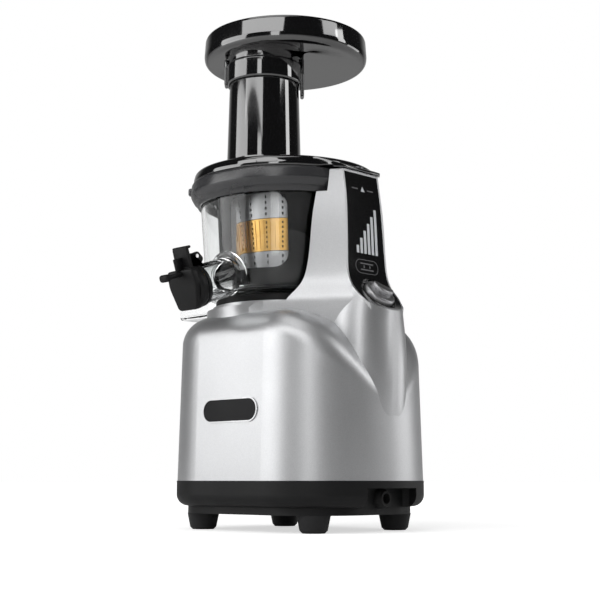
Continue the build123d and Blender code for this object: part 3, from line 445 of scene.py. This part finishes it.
def joined(*forms):
    """Several forms as one bmesh."""
    whole = forms[0]
    for form in forms[1:]:
        mesh = bpy.data.meshes.new("part")
        form.to_mesh(mesh)
        form.free()
        whole.from_mesh(mesh)
        bpy.data.meshes.remove(mesh)
    return whole


def upright(x, y, z=0.0, turn=0.0):
    """The place of a form that stands upright at x, y, z mm from the bowl's axis."""
    return Matrix.Translation(point(x, y, z)) @ Matrix.Rotation(math.radians(turn), 4, "Z")


def piece(name, bm, body, slot, *nodes, sharp=32.0, finish=None):
    """Makes the object, smooths it, gives it its finish, hangs it on its body, and hides the nodes that it
    stands for.
    """
    made = mesh_object(name, bm)
    made.data.shade_smooth()
    made.data.set_sharp_from_angle(angle=math.radians(sharp))
    made.data.materials.append(finish or finish_of(slot))
    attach(made, body)
    if nodes:
        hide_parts(*nodes)
    return made


def baked(obj):
    """Applies the object's modifiers to its mesh."""
    graph = bpy.context.evaluated_depsgraph_get()
    mesh = bpy.data.meshes.new_from_object(obj.evaluated_get(graph))
    old, obj.data = obj.data, mesh
    obj.modifiers.clear()
    bpy.data.meshes.remove(old)
    return obj


def cut(obj, bm, operation="DIFFERENCE"):
    """Cuts one closed form out of a piece, or adds it."""
    tool = mesh_object("tool", bm)
    step = obj.modifiers.new("cut", "BOOLEAN")
    step.operation, step.solver, step.object = operation, "EXACT", tool
    baked(obj)
    bpy.data.objects.remove(tool)
    return obj


# ------------------------------------------------------------------ hopper and lid

def feed_radius(z):
    """The feed tube's outside, which closes a little towards its top."""
    return 30.4 - 2.5 * (z - 291.5) / 96.5


class JUICER_OT_hopper(bpy.types.Operator):
    """Makes the tray with its dish, its rolled rim and the neck that sits on the feed tube"""
    bl_idname = "juicer.hopper"
    bl_label = "Hopper tray"

    def execute(self, context):
        rim = spun([(61.6, 385.8), (68.0, 386.5, 4.4), (68.8, 393.0, 0.8), (67.9, 406.2, 1.0),
                    (66.7, 408.0, 0.7), (65.1, 406.8, 0.8), (64.2, 394.0, 2.2), (59.5, 389.6)],
                   RIM_STEPS, closed=False)
        for height, inner, at_height in ((389.6, NECK_HOLE, 389.3), (385.8, NECK_R, 385.8)):
            ring = [e for e in rim.edges if e.is_boundary
                    and all(abs(v.co.z - height * MM) < 1e-6 for v in e.verts)]
            made = bmesh.ops.create_circle(rim, segments=RIM_STEPS, radius=inner * MM)
            bmesh.ops.translate(rim, vec=(FEED - AXIS) + Vector((0, 0, at_height * MM)), verts=made["verts"])
            inside = list({e for v in made["verts"] for e in v.link_edges})
            bmesh.ops.bridge_loops(rim, edges=ring + inside)
        sleeve = spun([(NECK_HOLE, 389.3), (NECK_HOLE, 384.6), (28.8, 384.6), (28.9, 362.6, 0.3),
                       (30.4, 362.2, 0.4), (31.3, 363.4, 0.5), (31.3, 378.0, 0.5), (NECK_R, 379.4, 0.3),
                       (NECK_R, 385.8)], RIM_STEPS, closed=False)
        whole = joined(on_axis(rim), on_feed(sleeve))
        for turn, tall, middle in NECK_TABS:
            tab = block((3.2, 12.0, tall), (31.4, 0, middle), 1.4)
            whole = joined(whole, on_feed(placed(tab, Matrix.Rotation(math.radians(turn), 4, "Z"))))
        bmesh.ops.remove_doubles(whole, verts=whole.verts, dist=2e-6)
        bmesh.ops.recalc_face_normals(whole, faces=whole.faces)
        piece("hopper_tray_gloss", whole, "hopper", "black_gloss", "hopper_tray")
        return {"FINISHED"}


class JUICER_OT_lid(bpy.types.Operator):
    """Makes the lid with its stepped edge, its tongue over the arm, and the feed tube"""
    bl_idname = "juicer.lid"
    bl_label = "Lid and feed tube"

    def execute(self, context):
        disc = spun([(0.0, 276.8), (5.6, 276.8, 0.6), (6.0, 282.4), (66.4, 282.4), (66.4, 270.2, 0.4),
                     (69.2, 270.2, 0.5), (69.2, 282.4), (76.2, 282.4, 0.4), (76.6, 284.6, 0.8),
                     (75.4, 289.6, 1.6), (72.0, 291.6, 1.6), (40.0, 292.4), (0.0, 292.4)],
                    RIM_STEPS, closed=False)
        lid = mesh_object("lid", on_axis(disc))
        cut(lid, on_axis(spun([(0, 277.0), (0, 262.0), (3.1, 262.0), (3.1, 283.0), (0, 283.0)], 32, False)))
        cut(lid, on_feed(cylinder((feed_radius(268) - 2.6, feed_radius(300) - 2.6), 268, 300, BOWL_STEPS)))
        for turn in (-56.2, 123.8):
            cut(lid, placed(block((5, 17.5, 9), (78.0, 0, 289.2), 1.0), upright(0, 0, 0, turn)))
        tube = spun([(feed_radius(291.6) + 2.4, 291.9), (feed_radius(294.4), 294.4, 2.4),
                     (feed_radius(386), 386.0), (feed_radius(388) - 0.2, 388.0, 0.6),
                     (feed_radius(388) - 2.6, 388.0, 0.6), (feed_radius(291.6) - 2.6, 283.0)],
                    RIM_STEPS, closed=False)
        piece("feed_lid_gloss", joined(taken(lid), on_feed(tube), on_axis(self.tongue())), "lid",
              "black_gloss", "feed_lid")
        return {"FINISHED"}

    def tongue(self):
        """The tongue that reaches over the arm, with sloping sides and tip."""
        outline = [(40, -40), (66, -36.2), (79, -28.5), (86.3, -21.2), (86.3, 21.2), (79, 28.5), (66, 36.2),
                   (40, 40)]
        tongue = plate(outline, 11.0, 0.0, 3.0)
        placed(tongue, Matrix.Translation(Vector((0, 0, 280.95)) * MM))
        for plane_co, plane_no in (((86.3, 0, 282.8), (0.40, 0, 1.0)), ((0, -36.2, 289.6), (0, -0.30, 1.0)),
                                   ((0, 36.2, 289.6), (0, 0.30, 1.0)), ((0, 0, 291.2), (0, 0, 1))):
            part = bmesh.ops.bisect_plane(tongue, geom=tongue.verts[:] + tongue.edges[:] + tongue.faces[:],
                                          plane_co=Vector(plane_co) * MM, plane_no=plane_no, clear_outer=True)
            rim = [g for g in part["geom_cut"] if isinstance(g, bmesh.types.BMEdge)]
            if rim:
                bmesh.ops.holes_fill(tongue, edges=rim)
        bmesh.ops.bisect_plane(tongue, geom=tongue.verts[:] + tongue.edges[:] + tongue.faces[:],
                               plane_co=Vector((79.6, 0, 281)) * MM, plane_no=(-1, 0, 0))
        bmesh.ops.remove_doubles(tongue, verts=tongue.verts, dist=1e-5)
        for v in tongue.verts:
            if v.co.x < 79.7 * MM and v.co.z < 281.2 * MM:
                v.co.z = 282.5 * MM
        bmesh.ops.recalc_face_normals(tongue, faces=tongue.faces)
        sharp = [e for e in tongue.edges
                 if e.calc_face_angle(0) > math.radians(20) and e.verts[0].co.x > 60 * MM]
        bmesh.ops.bevel(tongue, geom=sharp, offset=0.45 * MM, offset_type="OFFSET", segments=2, profile=0.5,
                        affect="EDGES", material=-1)
        return tongue


# ------------------------------------------------------------------ bowl and spout

def spout(s=0.0):
    """The place of a form on the juice spout, s mm along it; its Z runs out of the bowl, its Y up."""
    tilt = math.radians(SPOUT_TILT)
    up = Vector((0, -math.sin(tilt), math.cos(tilt)))
    out = Vector((0, -math.cos(tilt), -math.sin(tilt)))
    turn = Matrix((Vector((1, 0, 0)), up, out)).transposed().to_4x4()
    return Matrix.Translation(point(*SPOUT_AT) + out * s * MM) @ turn


def bowl_radius(z):
    return 64.8 + 5.8 * (z - 185.5) / 80.5


class JUICER_OT_bowl(bpy.types.Operator):
    """Makes the clear bowl with its spout tube and pulp chute, and the smoky collar"""
    bl_idname = "juicer.bowl"
    bl_label = "Bowl and collar"

    def execute(self, context):
        shell = spun([(7.3, 185.6), (bowl_radius(185.5), 185.6, 4.0), (bowl_radius(266), 266.0),
                      (bowl_radius(266) - 3, 266.0), (bowl_radius(188.5) - 3, 188.5, 5.0), (7.3, 188.5)],
                     BOWL_STEPS)
        bowl = mesh_object("bowl", on_axis(shell))
        flange = spun([(0, -1.6), (19.9, -1.6, 0.4), (19.9, 0.8, 0.6), (16.6, 1.2, 0.8), (15.5, 2.6, 0.8),
                       (15.5, 37.0, 0.5), (0, 37.0)], closed=False)
        tube = mesh_object("spout_tube", placed(flange, spout()))
        cut(tube, on_axis(cylinder((bowl_radius(170) - 1.4, bowl_radius(240) - 1.4), 170, 240, BOWL_STEPS)))
        cut(bowl, taken(tube), "UNION")
        chute = mesh_object("chute", on_axis(block((96.2, 44.0, 14.2), (-60.4, 0, 183.9), 2.0)))
        cut(chute, on_axis(block((110, 39.2, 14), (-68, 0, 186.3), 1.6)))
        cut(chute, on_axis(cylinder((bowl_radius(185) - 1.2, bowl_radius(200) - 1.2), 170, 200, BOWL_STEPS)))
        cut(bowl, taken(chute), "UNION")
        cut(bowl, placed(cylinder(SPOUT_BORE, -8, 60), spout()))
        piece("juice_bowl_clear", taken(bowl), "bowl", "clear_bowl", "juice_bowl", sharp=35)

        collar = spun([(67.6, 266.3), (71.2, 263.0, 0.6), (72.6, 262.6, 0.6), (73.9, 265.4, 0.8),
                       (75.4, 267.2, 0.4), (76.0, 267.0, 0.3), (78.6, 271.4, 1.4), (79.0, 273.4, 0.8),
                       (78.2, 280.6, 0.9), (76.8, 282.0, 0.6), (69.7, 282.0, 0.3), (69.7, 269.0),
                       (67.6, 269.0, 0.3)], RIM_STEPS)
        lug = placed(block((6.4, 5.6, 6.4), (78.4, 0, 278.4), 1.6), upright(0, 0, 0, -138.7))
        piece("bowl_collar_smoky", joined(on_axis(collar), lug), "bowl", "smoky_clear", "bowl_collar")
        return {"FINISHED"}


class JUICER_OT_spout(bpy.types.Operator):
    """Makes the ring on the spout, the hinged cap with its lever, and the soft plug"""
    bl_idname = "juicer.spout"
    bl_label = "Spout cap"

    def execute(self, context):
        ring = spun([(15.6, 34.4), (16.8, 34.4, 0.5), (17.0, 37.6, 0.5), (15.6, 37.6)])
        for x in (-6.5, 6.5):
            ear = plate([(29.0, 19.6), (34.4, 14.0), (37.6, 14.0), (38.4, 20.6), (38.2, 25.4), (33.0, 26.0)],
                        2.4, 0.4, 1.6)
            ring = joined(ring, on_edge(ear, x - 1.2))
        piece("spout_ring_black", placed(ring, spout()), "bowl", "black_plastic", "spout_ring")

        start = CAP_START
        collar = spun([(0, start), (16.6, start, 0.5), (17.4, start + 1.6, 0.8), (17.4, start + 5.8, 0.8),
                       (16.0, start + 8.0, 1.0), (0, start + 8.0)], closed=False)
        face = plate([(-14.6, 14.8), (14.6, 14.8), (15.6, 2.0), (10.6, -16.6), (-10.6, -16.6), (-15.6, 2.0)],
                     4.8, 1.3, 3.0)
        placed(face, Matrix.Translation((0, 0, (start + 7.6) * MM)))
        lug = plate([(31.6, 19.4), (35.0, 19.0), (39.6, 18.2), (39.8, 12.0), (44.8, 12.0), (45.0, 21.6),
                     (43.4, 23.2), (35.0, 25.6), (31.8, 24.0)], 9.6, 0.6, 0.9)
        whole = joined(collar, face, on_edge(lug, -4.8))
        bmesh.ops.recalc_face_normals(whole, faces=whole.faces)
        piece("spout_cap_black", placed(whole, spout()), "cap", "black_plastic", "spout_cap")

        blade = plate([(-8.8, 13.0), (8.8, 13.0), (8.2, 31.6), (-8.2, 31.6)], 2.4, 0.7, 2.2)
        placed(blade, Matrix.Translation((0, 0, (start + 4.6) * MM)))
        hook = block((16.8, 2.2, 5.0), (0, 30.9, start + 4.2), 0.9)
        web = block((2.4, 12.0, 9.0), (0, 18.0, start + 10.4), 0.8)
        finger = block((8.0, 3.6, 22.0), (0, 11.8, start + 17.0), 1.4)
        tip = block((10.0, 5.8, 5.0), (0, 11.8, start + 27.2), 2.2, 4)
        lever = joined(blade, hook, web, finger, tip)
        piece("cap_lever_black", placed(lever, spout()), "cap", "black_plastic", "cap_lever")

        plug = spun([(0, 35.5), (10.9, 35.5, 0.5), (11.7, 36.4, 0.3), (11.7, 37.6), (0, 37.6)], 64,
                    closed=False)
        piece("cap_plug_soft", placed(plug, spout()), "cap", "silicone", "cap_plug")
        return {"FINISHED"}


# ------------------------------------------------------------------ strainer, brush and auger

def strainer_radius(z):
    return 38.2 + 7.4 * (z - 208.0) / 60.0


def sieve(low, high, rows, ribs=()):
    """A thin conical wall with columns of short slots, and raised upright ribs between them."""
    first, last = low + SIEVE_EDGE, high - SIEVE_EDGE
    pitch = (high - low - 2 * SIEVE_EDGE) / rows
    heights = [low, first]
    for k in range(rows):
        heights += [first + (k + 0.25) * pitch, first + (k + 0.75) * pitch]
    heights += [last, high]
    bm = bmesh.new()
    verts = [bm.verts.new((strainer_radius(z) * MM, 0, z * MM)) for z in heights]
    for a, b in zip(verts, verts[1:]):
        bm.edges.new((a, b))
    steps = SIEVE_COLUMNS * SIEVE_PARTS
    bmesh.ops.spin(bm, geom=bm.verts[:] + bm.edges[:], cent=(0, 0, 0), axis=(0, 0, 1), angle=math.tau,
                   steps=steps, use_merge=True, use_duplicate=False)
    bmesh.ops.remove_doubles(bm, verts=bm.verts, dist=1e-6)
    holes, bars = [], []
    for face in bm.faces:
        middle = face.calc_center_median()
        sector = int((math.atan2(middle.y, middle.x) % math.tau) / (math.tau / steps)) % SIEVE_PARTS
        z = middle.z / MM
        k = (z - first) / pitch
        if sector == 0 and 0 < k < rows and 0.25 < k % 1 < 0.75:
            holes.append(face)
        elif sector in ribs and first < z < last:
            bars.append(face)
    bmesh.ops.delete(bm, geom=holes, context="FACES")
    if bars:
        raised = bmesh.ops.extrude_face_region(bm, geom=bars)
        for v in (g for g in raised["geom"] if isinstance(g, bmesh.types.BMVert)):
            v.co.x, v.co.y = v.co.x * RIB_RISE, v.co.y * RIB_RISE
        bmesh.ops.delete(bm, geom=bars, context="FACES_ONLY")
    bmesh.ops.recalc_face_normals(bm, faces=bm.faces)
    bmesh.ops.solidify(bm, geom=bm.faces[:], thickness=SIEVE_WALL * MM)
    bmesh.ops.recalc_face_normals(bm, faces=bm.faces)
    return placed(bm, upright(0, 0, 0, SIEVE_TURN))


class JUICER_OT_strainer(bpy.types.Operator):
    """Makes the strainer's three slotted rings"""
    bl_idname = "juicer.strainer"
    bl_label = "Strainer"

    def execute(self, context):
        etched = metal("Etched steel", (0.30, 0.30, 0.305), (0.34, 0.46), (2500, 2500, 250), 0.5)
        piece("strainer_mesh_top_slotted", sieve(247.2, 267.8, 4), "bowl", "steel", "strainer_mesh_top",
              finish=etched)
        piece("strainer_band_slotted", sieve(221.2, 246.8, 6, ribs=(2, 5, 8)), "bowl", "gold_mesh",
              "strainer_band", sharp=20)
        piece("strainer_mesh_low_slotted", sieve(208.2, 220.8, 2), "bowl", "steel", "strainer_mesh_low",
              finish=etched)
        return {"FINISHED"}


class JUICER_OT_brush(bpy.types.Operator):
    """Makes the brush cage with its rounded windows, and the soft wipers with their lips"""
    bl_idname = "juicer.brush"
    bl_label = "Brush"

    def execute(self, context):
        def radius(z):
            return 55.5 + 3.5 * (z - 197.5) / 65.5

        wall = spun([(radius(197.5) - 2.2, 197.6), (radius(197.5), 197.6, 0.5), (radius(199.5), 200.0),
                     (radius(265), 265.4), (radius(266) + 0.9, 266.2, 0.4), (radius(267) + 0.9, 268.2, 0.4),
                     (radius(267) - 2.4, 268.2, 0.4), (radius(265) - 2.2, 265.4),
                     (radius(200) - 2.2, 200.0)], CAGE_STEPS)
        cage = mesh_object("cage", on_axis(wall))
        half = radius(197.5) * math.sin(math.radians(WINDOW_HALF))
        for i in range(WINDOWS):
            window = plate([(-half, WINDOW_LOW), (half, WINDOW_LOW), (half, WINDOW_HIGH),
                            (-half, WINDOW_HIGH)], 80.0, 0.0, 11.0)
            a = math.radians(WINDOW_TURN + 360.0 / WINDOWS * i)
            side, out = Vector((-math.sin(a), math.cos(a), 0)), Vector((math.cos(a), math.sin(a), 0))
            turn = Matrix((side, Vector((0, 0, 1)), out)).transposed().to_4x4()
            cut(cage, on_axis(placed(window, turn)))
        foot = spun([(41.0, 197.6), (54.6, 197.6), (54.6, 199.4, 0.4), (41.0, 199.4)], CAGE_STEPS)
        piece("brush_cage_smoky", joined(taken(cage), on_axis(foot), ring_gear_hub()), "brush",
              "smoky_clear", "brush_frame",
              finish=clear("Dark smoke plastic", colours().cage, (0.10, 0.14), 0.8, 1.16))
        lips = []
        for i in (0, 2, 4):
            wiper = block((7.0, 1.7, 48.0), (50.4, 0, 234.0), 0.7)
            lip = block((1.4, 2.6, 46.0), (46.9, 0, 234.0), 0.6)
            turn = WINDOW_TURN + 360.0 / WINDOWS * (i + 0.5)
            lips.append(placed(joined(wiper, lip), upright(0, 0, 0, turn)))
        piece("brush_wipers_soft", joined(*lips), "brush", "silicone", "brush_wipers")
        return {"FINISHED"}


def ring_gear_hub():
    """The hub under the cage, from the frame's own node: its teeth stay as they are."""
    bm = bmesh.new()
    bm.from_mesh(NODES["brush_frame"].data)
    bmesh.ops.remove_doubles(bm, verts=bm.verts, dist=1e-6)
    away = [f for f in bm.faces if (f.calc_center_median() - AXIS).xy.length > 42.7 * MM]
    bmesh.ops.delete(bm, geom=away, context="FACES")
    return bm


class JUICER_OT_panel_print(bpy.types.Operator):
    """Makes the panel's thin print: a lid arrow, stepped level bars and an outlined switch field"""
    bl_idname = "juicer.panel_print"
    bl_label = "Panel print"

    def execute(self, context):
        surface = BVHTree.FromObject(NODES["control_panel"], context.evaluated_depsgraph_get())
        lift = sizes().mark_lift

        def lay(shapes):
            """Lays flat outlines, given as (across, height) in mm, on the curved panel."""
            bm = bmesh.new()
            for outline in shapes:
                flat = plate(outline, 0.1)
                bmesh.ops.triangulate(flat, faces=flat.faces)
                long = [e for e in flat.edges if e.calc_length() > 0.8 * MM]
                bmesh.ops.subdivide_edges(flat, edges=long, cuts=2, use_grid_fill=True)
                bm = joined(bm, flat)
            for v in bm.verts:
                y, z, up = v.co.x, v.co.y, v.co.z > 0.05 * MM
                start = Vector((0.3, AXIS.y + y, z))
                hit, normal, _, _ = surface.ray_cast(start, Vector((-1, 0, 0)))
                v.co = hit + normal * (lift if up else -0.00005)
            bmesh.ops.recalc_face_normals(bm, faces=bm.faces)
            return bm

        def bar(y0, y1, z0, z1):
            return [(y0, z0), (y1, z0), (y1, z1), (y0, z1)]

        def ring_segments(width, height, y, z, line, count=28):
            """A rounded outline as short straight pieces."""
            shapes = []
            r = height / 2
            half = width / 2 - r
            path = []
            for i in range(count):
                a = math.tau * i / count
                side = half if math.cos(a) >= 0 else -half
                path.append(Vector((y + math.cos(a) * r + side, z + math.sin(a) * r)))
            for a, b in zip(path, path[1:] + path[:1]):
                d = (b - a).normalized()
                n = Vector((-d.y, d.x)) * line / 2
                shapes.append([tuple(a - n), tuple(b - n), tuple(b + n), tuple(a + n)])
            return shapes

        bright = [bar(-11 + 4.4 * i, -8.2 + 4.4 * i, 214, 220 + 6.2 * i) for i in range(6)]
        arrow = [(-2.3, 264.2), (2.3, 264.2), (0, 268.4)]
        dull = [bar(-12.5, -5.5, 265.4, 266.4), bar(5.5, 12.5, 265.4, 266.4)]
        dull += ring_segments(26, 11.0, 0, 203.5, 0.55)
        dull += [bar(-7.5, 7.5, 205.4, 206.5), bar(-7.5, 7.5, 200.5, 201.6), bar(-4.0, -2.8, 202.4, 204.6),
                 bar(2.8, 4.0, 202.4, 204.6)]
        piece("panel_print_bright", lay([*bright, arrow]), "root", "silver_trim",
              finish=ink("Bright print", colours().mark, 0.05, (0.3, 0.4), 0.4))
        piece("panel_print_dull", lay(dull), "root", "silver_trim",
              finish=ink("Dull print", colours().field, 0.08, (0.35, 0.45)))
        return {"FINISHED"}


class JUICER_OT_knob(bpy.types.Operator):
    """Makes the turning knob with its raised grip, and the gloss ring that it sits in"""
    bl_idname = "juicer.knob"
    bl_label = "Knob and ring"

    def execute(self, context):
        slope = math.sqrt(0.5)
        turn = Matrix(((0, -slope, slope), (1, 0, 0), (0, slope, slope))).to_4x4()
        stand = Matrix.Translation(point(*KNOB_AT)) @ turn
        ring = spun([(14.0, -1.4), (14.0, 0.3, 0.3), (15.2, 1.2, 0.5), (16.1, 0.6, 0.4), (16.1, -2.9),
                     (4.1, -2.9), (4.1, -1.4)])
        piece("knob_ring_gloss", placed(ring, stand), "root", "black_gloss", "knob_bezel")
        knob = spun([(0, -8.9), (2.9, -8.9, 0.4), (2.9, -1.0), (12.8, -1.0, 0.3), (13.2, 0.4),
                     (13.1, 4.0, 1.3), (11.6, 4.9, 0.8), (10.6, 4.3, 0.6), (0, 4.1)], closed=False)
        grip = []
        for i in range(40):
            a = math.tau * i / 40
            grip.append((1.6 + 9.4 * math.cos(a), 2.4 + 5.2 * math.sin(a) + 0.035 * (9.4 * math.cos(a)) ** 2))
        seat = Matrix.Translation((0, 0, 3.6 * MM)) @ Matrix.Rotation(-0.6, 4, "Z")
        bar = placed(plate(grip, 4.2, 1.9), seat)
        piece("control_knob_satin", placed(joined(knob, bar), stand), "knob", "silver_trim", "control_knob",
              finish=metal("Satin knob", (0.46, 0.46, 0.47), (0.36, 0.44), (500, 500, 500), 0.12))
        return {"FINISHED"}


# ------------------------------------------------------------------ stage

class JUICER_OT_stage(bpy.types.Operator):
    """Sets up the pale floor, the soft studio lights and the camera"""
    bl_idname = "juicer.stage"
    bl_label = "Stage"

    LENS, SENSOR, TILT, TURN = 75.42, 36.0, 98.13, 44.3      # mm, mm, degrees, degrees
    CAMERA = Vector((0.7284, -0.7289, 0.0394))               # m from the bowl's axis
    AIM = Vector((0, 0, 0.2))                                # m: what the softboxes face

    # name, bearing in degrees, distance, middle height, width, height (m), radiance
    SOFTBOXES = (("left softbox", -121.0, 1.8, 0.56, 1.42, 1.12, 2.4),
                 ("front strip", -59.0, 2.0, 0.60, 0.40, 1.10, 2.8),
                 ("high softbox", -79.0, 1.8, 1.56, 2.20, 0.66, 2.6),
                 ("right high box", 22.0, 1.8, 1.56, 0.84, 0.66, 2.4),
                 ("right strip", 37.0, 1.8, 0.86, 0.42, 0.80, 3.4),
                 ("low softbox", 62.0, 1.8, 0.24, 0.90, 0.46, 1.7),
                 ("top softbox", -80.0, 0.55, 1.70, 1.10, 0.90, 1.2))

    def execute(self, context):
        scene = context.scene
        scene.view_settings.view_transform = "Standard"
        self.camera(scene)
        self.floor()
        self.world(scene)
        for name, bearing, away, middle, width, height, radiance in self.SOFTBOXES:
            lamp = bpy.data.lights.new(name, "AREA")
            lamp.shape, lamp.size, lamp.size_y = "RECTANGLE", width, height
            lamp.energy = radiance * math.pi * width * height
            holder = bpy.data.objects.new(name, lamp)
            turn = math.radians(bearing)
            holder.location = AXIS + Vector((math.cos(turn) * away, math.sin(turn) * away, middle))
            holder.rotation_euler = (AXIS + self.AIM - holder.location).to_track_quat("-Z", "Y").to_euler()
            holder.visible_camera = False
            scene.collection.objects.link(holder)
        return {"FINISHED"}

    def camera(self, scene):
        data = bpy.data.cameras.new("camera")
        data.lens, data.sensor_width = self.LENS, self.SENSOR
        data.clip_start, data.clip_end = 0.05, 60.0
        holder = bpy.data.objects.new("camera", data)
        holder.location = AXIS + self.CAMERA
        holder.rotation_euler = (math.radians(self.TILT), 0.0, math.radians(self.TURN))
        scene.collection.objects.link(holder)
        scene.camera = holder

    def floor(self):
        bm = bmesh.new()
        bmesh.ops.create_grid(bm, x_segments=1, y_segments=1, size=12.0)
        floor = mesh_object("studio_floor", bm)
        made, tree, surface = start("Studio floor")
        away = put(tree, "ShaderNodeVectorMath", {"operation": "LENGTH"}, _0=object_place(tree))
        far = put(tree, "ShaderNodeMapRange", {"interpolation_type": "SMOOTHSTEP"},
                  Value=away.outputs["Value"], From_Min=0.25, From_Max=0.9, To_Min=0.0,
                  To_Max=1.0).outputs[0]
        path = put(tree, "ShaderNodeLightPath")
        seen = sums(tree, "MAXIMUM", path.outputs["Is Camera Ray"], path.outputs["Is Transmission Ray"])
        level = sums(tree, "MULTIPLY", seen, sums(tree, "MULTIPLY_ADD", far, 0.42, 0.62))
        level = sums(tree, "MULTIPLY_ADD", path.outputs["Is Glossy Ray"], 0.04, level)
        fill(tree, surface, Base_Color=(0.80, 0.80, 0.80, 1), Roughness=0.9,
             Emission_Color=(1, 1, 1, 1), Emission_Strength=level)
        surface.inputs["Specular IOR Level"].default_value = 0.0
        floor.data.materials.append(made)

    def world(self, scene):
        world = bpy.data.worlds.new("Studio")
        world.use_nodes = True
        tree = world.node_tree
        back = next(n for n in tree.nodes if n.type == "BACKGROUND")
        path = put(tree, "ShaderNodeLightPath")
        way = put(tree, "ShaderNodeTexCoord").outputs["Generated"]
        behind = put(tree, "ShaderNodeVectorMath", {"operation": "DOT_PRODUCT"}, _0=way,
                     _1=(-0.707, 0.707, 0.0)).outputs["Value"]
        backdrop = put(tree, "ShaderNodeMapRange", {"interpolation_type": "SMOOTHSTEP"}, Value=behind,
                       From_Min=0.6, From_Max=0.95, To_Min=0.02, To_Max=0.35).outputs[0]
        seen = sums(tree, "MAXIMUM", path.outputs["Is Camera Ray"], path.outputs["Is Transmission Ray"])
        level = put(tree, "ShaderNodeMix", {"data_type": "FLOAT"}, _0=path.outputs["Is Glossy Ray"], _2=0.22,
                    _3=backdrop).outputs[0]
        level = put(tree, "ShaderNodeMix", {"data_type": "FLOAT"}, _0=seen, _2=level, _3=1.0).outputs[0]
        tree.links.new(level, back.inputs["Strength"])
        back.inputs["Color"].default_value = (1, 1, 1, 1)
        scene.world = world


# ------------------------------------------------------------------ finishes on the frame

class JUICER_OT_finish_frame(bpy.types.Operator):
    """Gives every piece of the frame that shows as it is its finish"""
    bl_idname = "juicer.finish_frame"
    bl_label = "Finishes on the frame"

    def execute(self, context):
        slots = {s["node"]: s["material_slot"] for s in frame["record"]["subparts"]}
        for node, slot in slots.items():
            shown = NODES[node]
            if shown.hide_render:
                continue
            shown.data.materials.clear()
            shown.data.materials.append(finish_of(slot))
        badge = moulded("Badge black", (0.010, 0.010, 0.011), (0.30, 0.36), depth=0.08, specular=0.12)
        NODES["badge_plate"].data.materials[0] = badge
        return {"FINISHED"}


OPERATORS = [JUICER_OT_hopper, JUICER_OT_lid, JUICER_OT_bowl, JUICER_OT_spout, JUICER_OT_strainer,
             JUICER_OT_brush, JUICER_OT_panel_print, JUICER_OT_knob, JUICER_OT_finish_frame, JUICER_OT_stage]


class JUICER_PT_panel(bpy.types.Panel):
    """Lists the juicer's pieces, in the order that they are made"""
    bl_idname = "JUICER_PT_panel"
    bl_label = "Juicer"
    bl_space_type = "VIEW_3D"
    bl_region_type = "UI"
    bl_category = "Juicer"

    def draw(self, context):
        column = self.layout.column(align=True)
        for group in (context.scene.juicer_sizes, context.scene.juicer_colours):
            for key in group.__annotations__:
                column.prop(group, key)
        column.separator()
        for operator in OPERATORS:
            column.operator(operator.bl_idname)


CLASSES = [JuicerSizes, JuicerColours, *OPERATORS, JUICER_PT_panel]


def register():
    for cls in CLASSES:
        bpy.utils.register_class(cls)
    bpy.types.Scene.juicer_sizes = PointerProperty(type=JuicerSizes)
    bpy.types.Scene.juicer_colours = PointerProperty(type=JuicerColours)


def unregister():
    del bpy.types.Scene.juicer_sizes
    del bpy.types.Scene.juicer_colours
    for cls in reversed(CLASSES):
        bpy.utils.unregister_class(cls)


def main():
    register()
    for operator in OPERATORS:
        getattr(bpy.ops.juicer, operator.bl_idname.split(".")[1])()


if __name__ == "__main__":
    main()
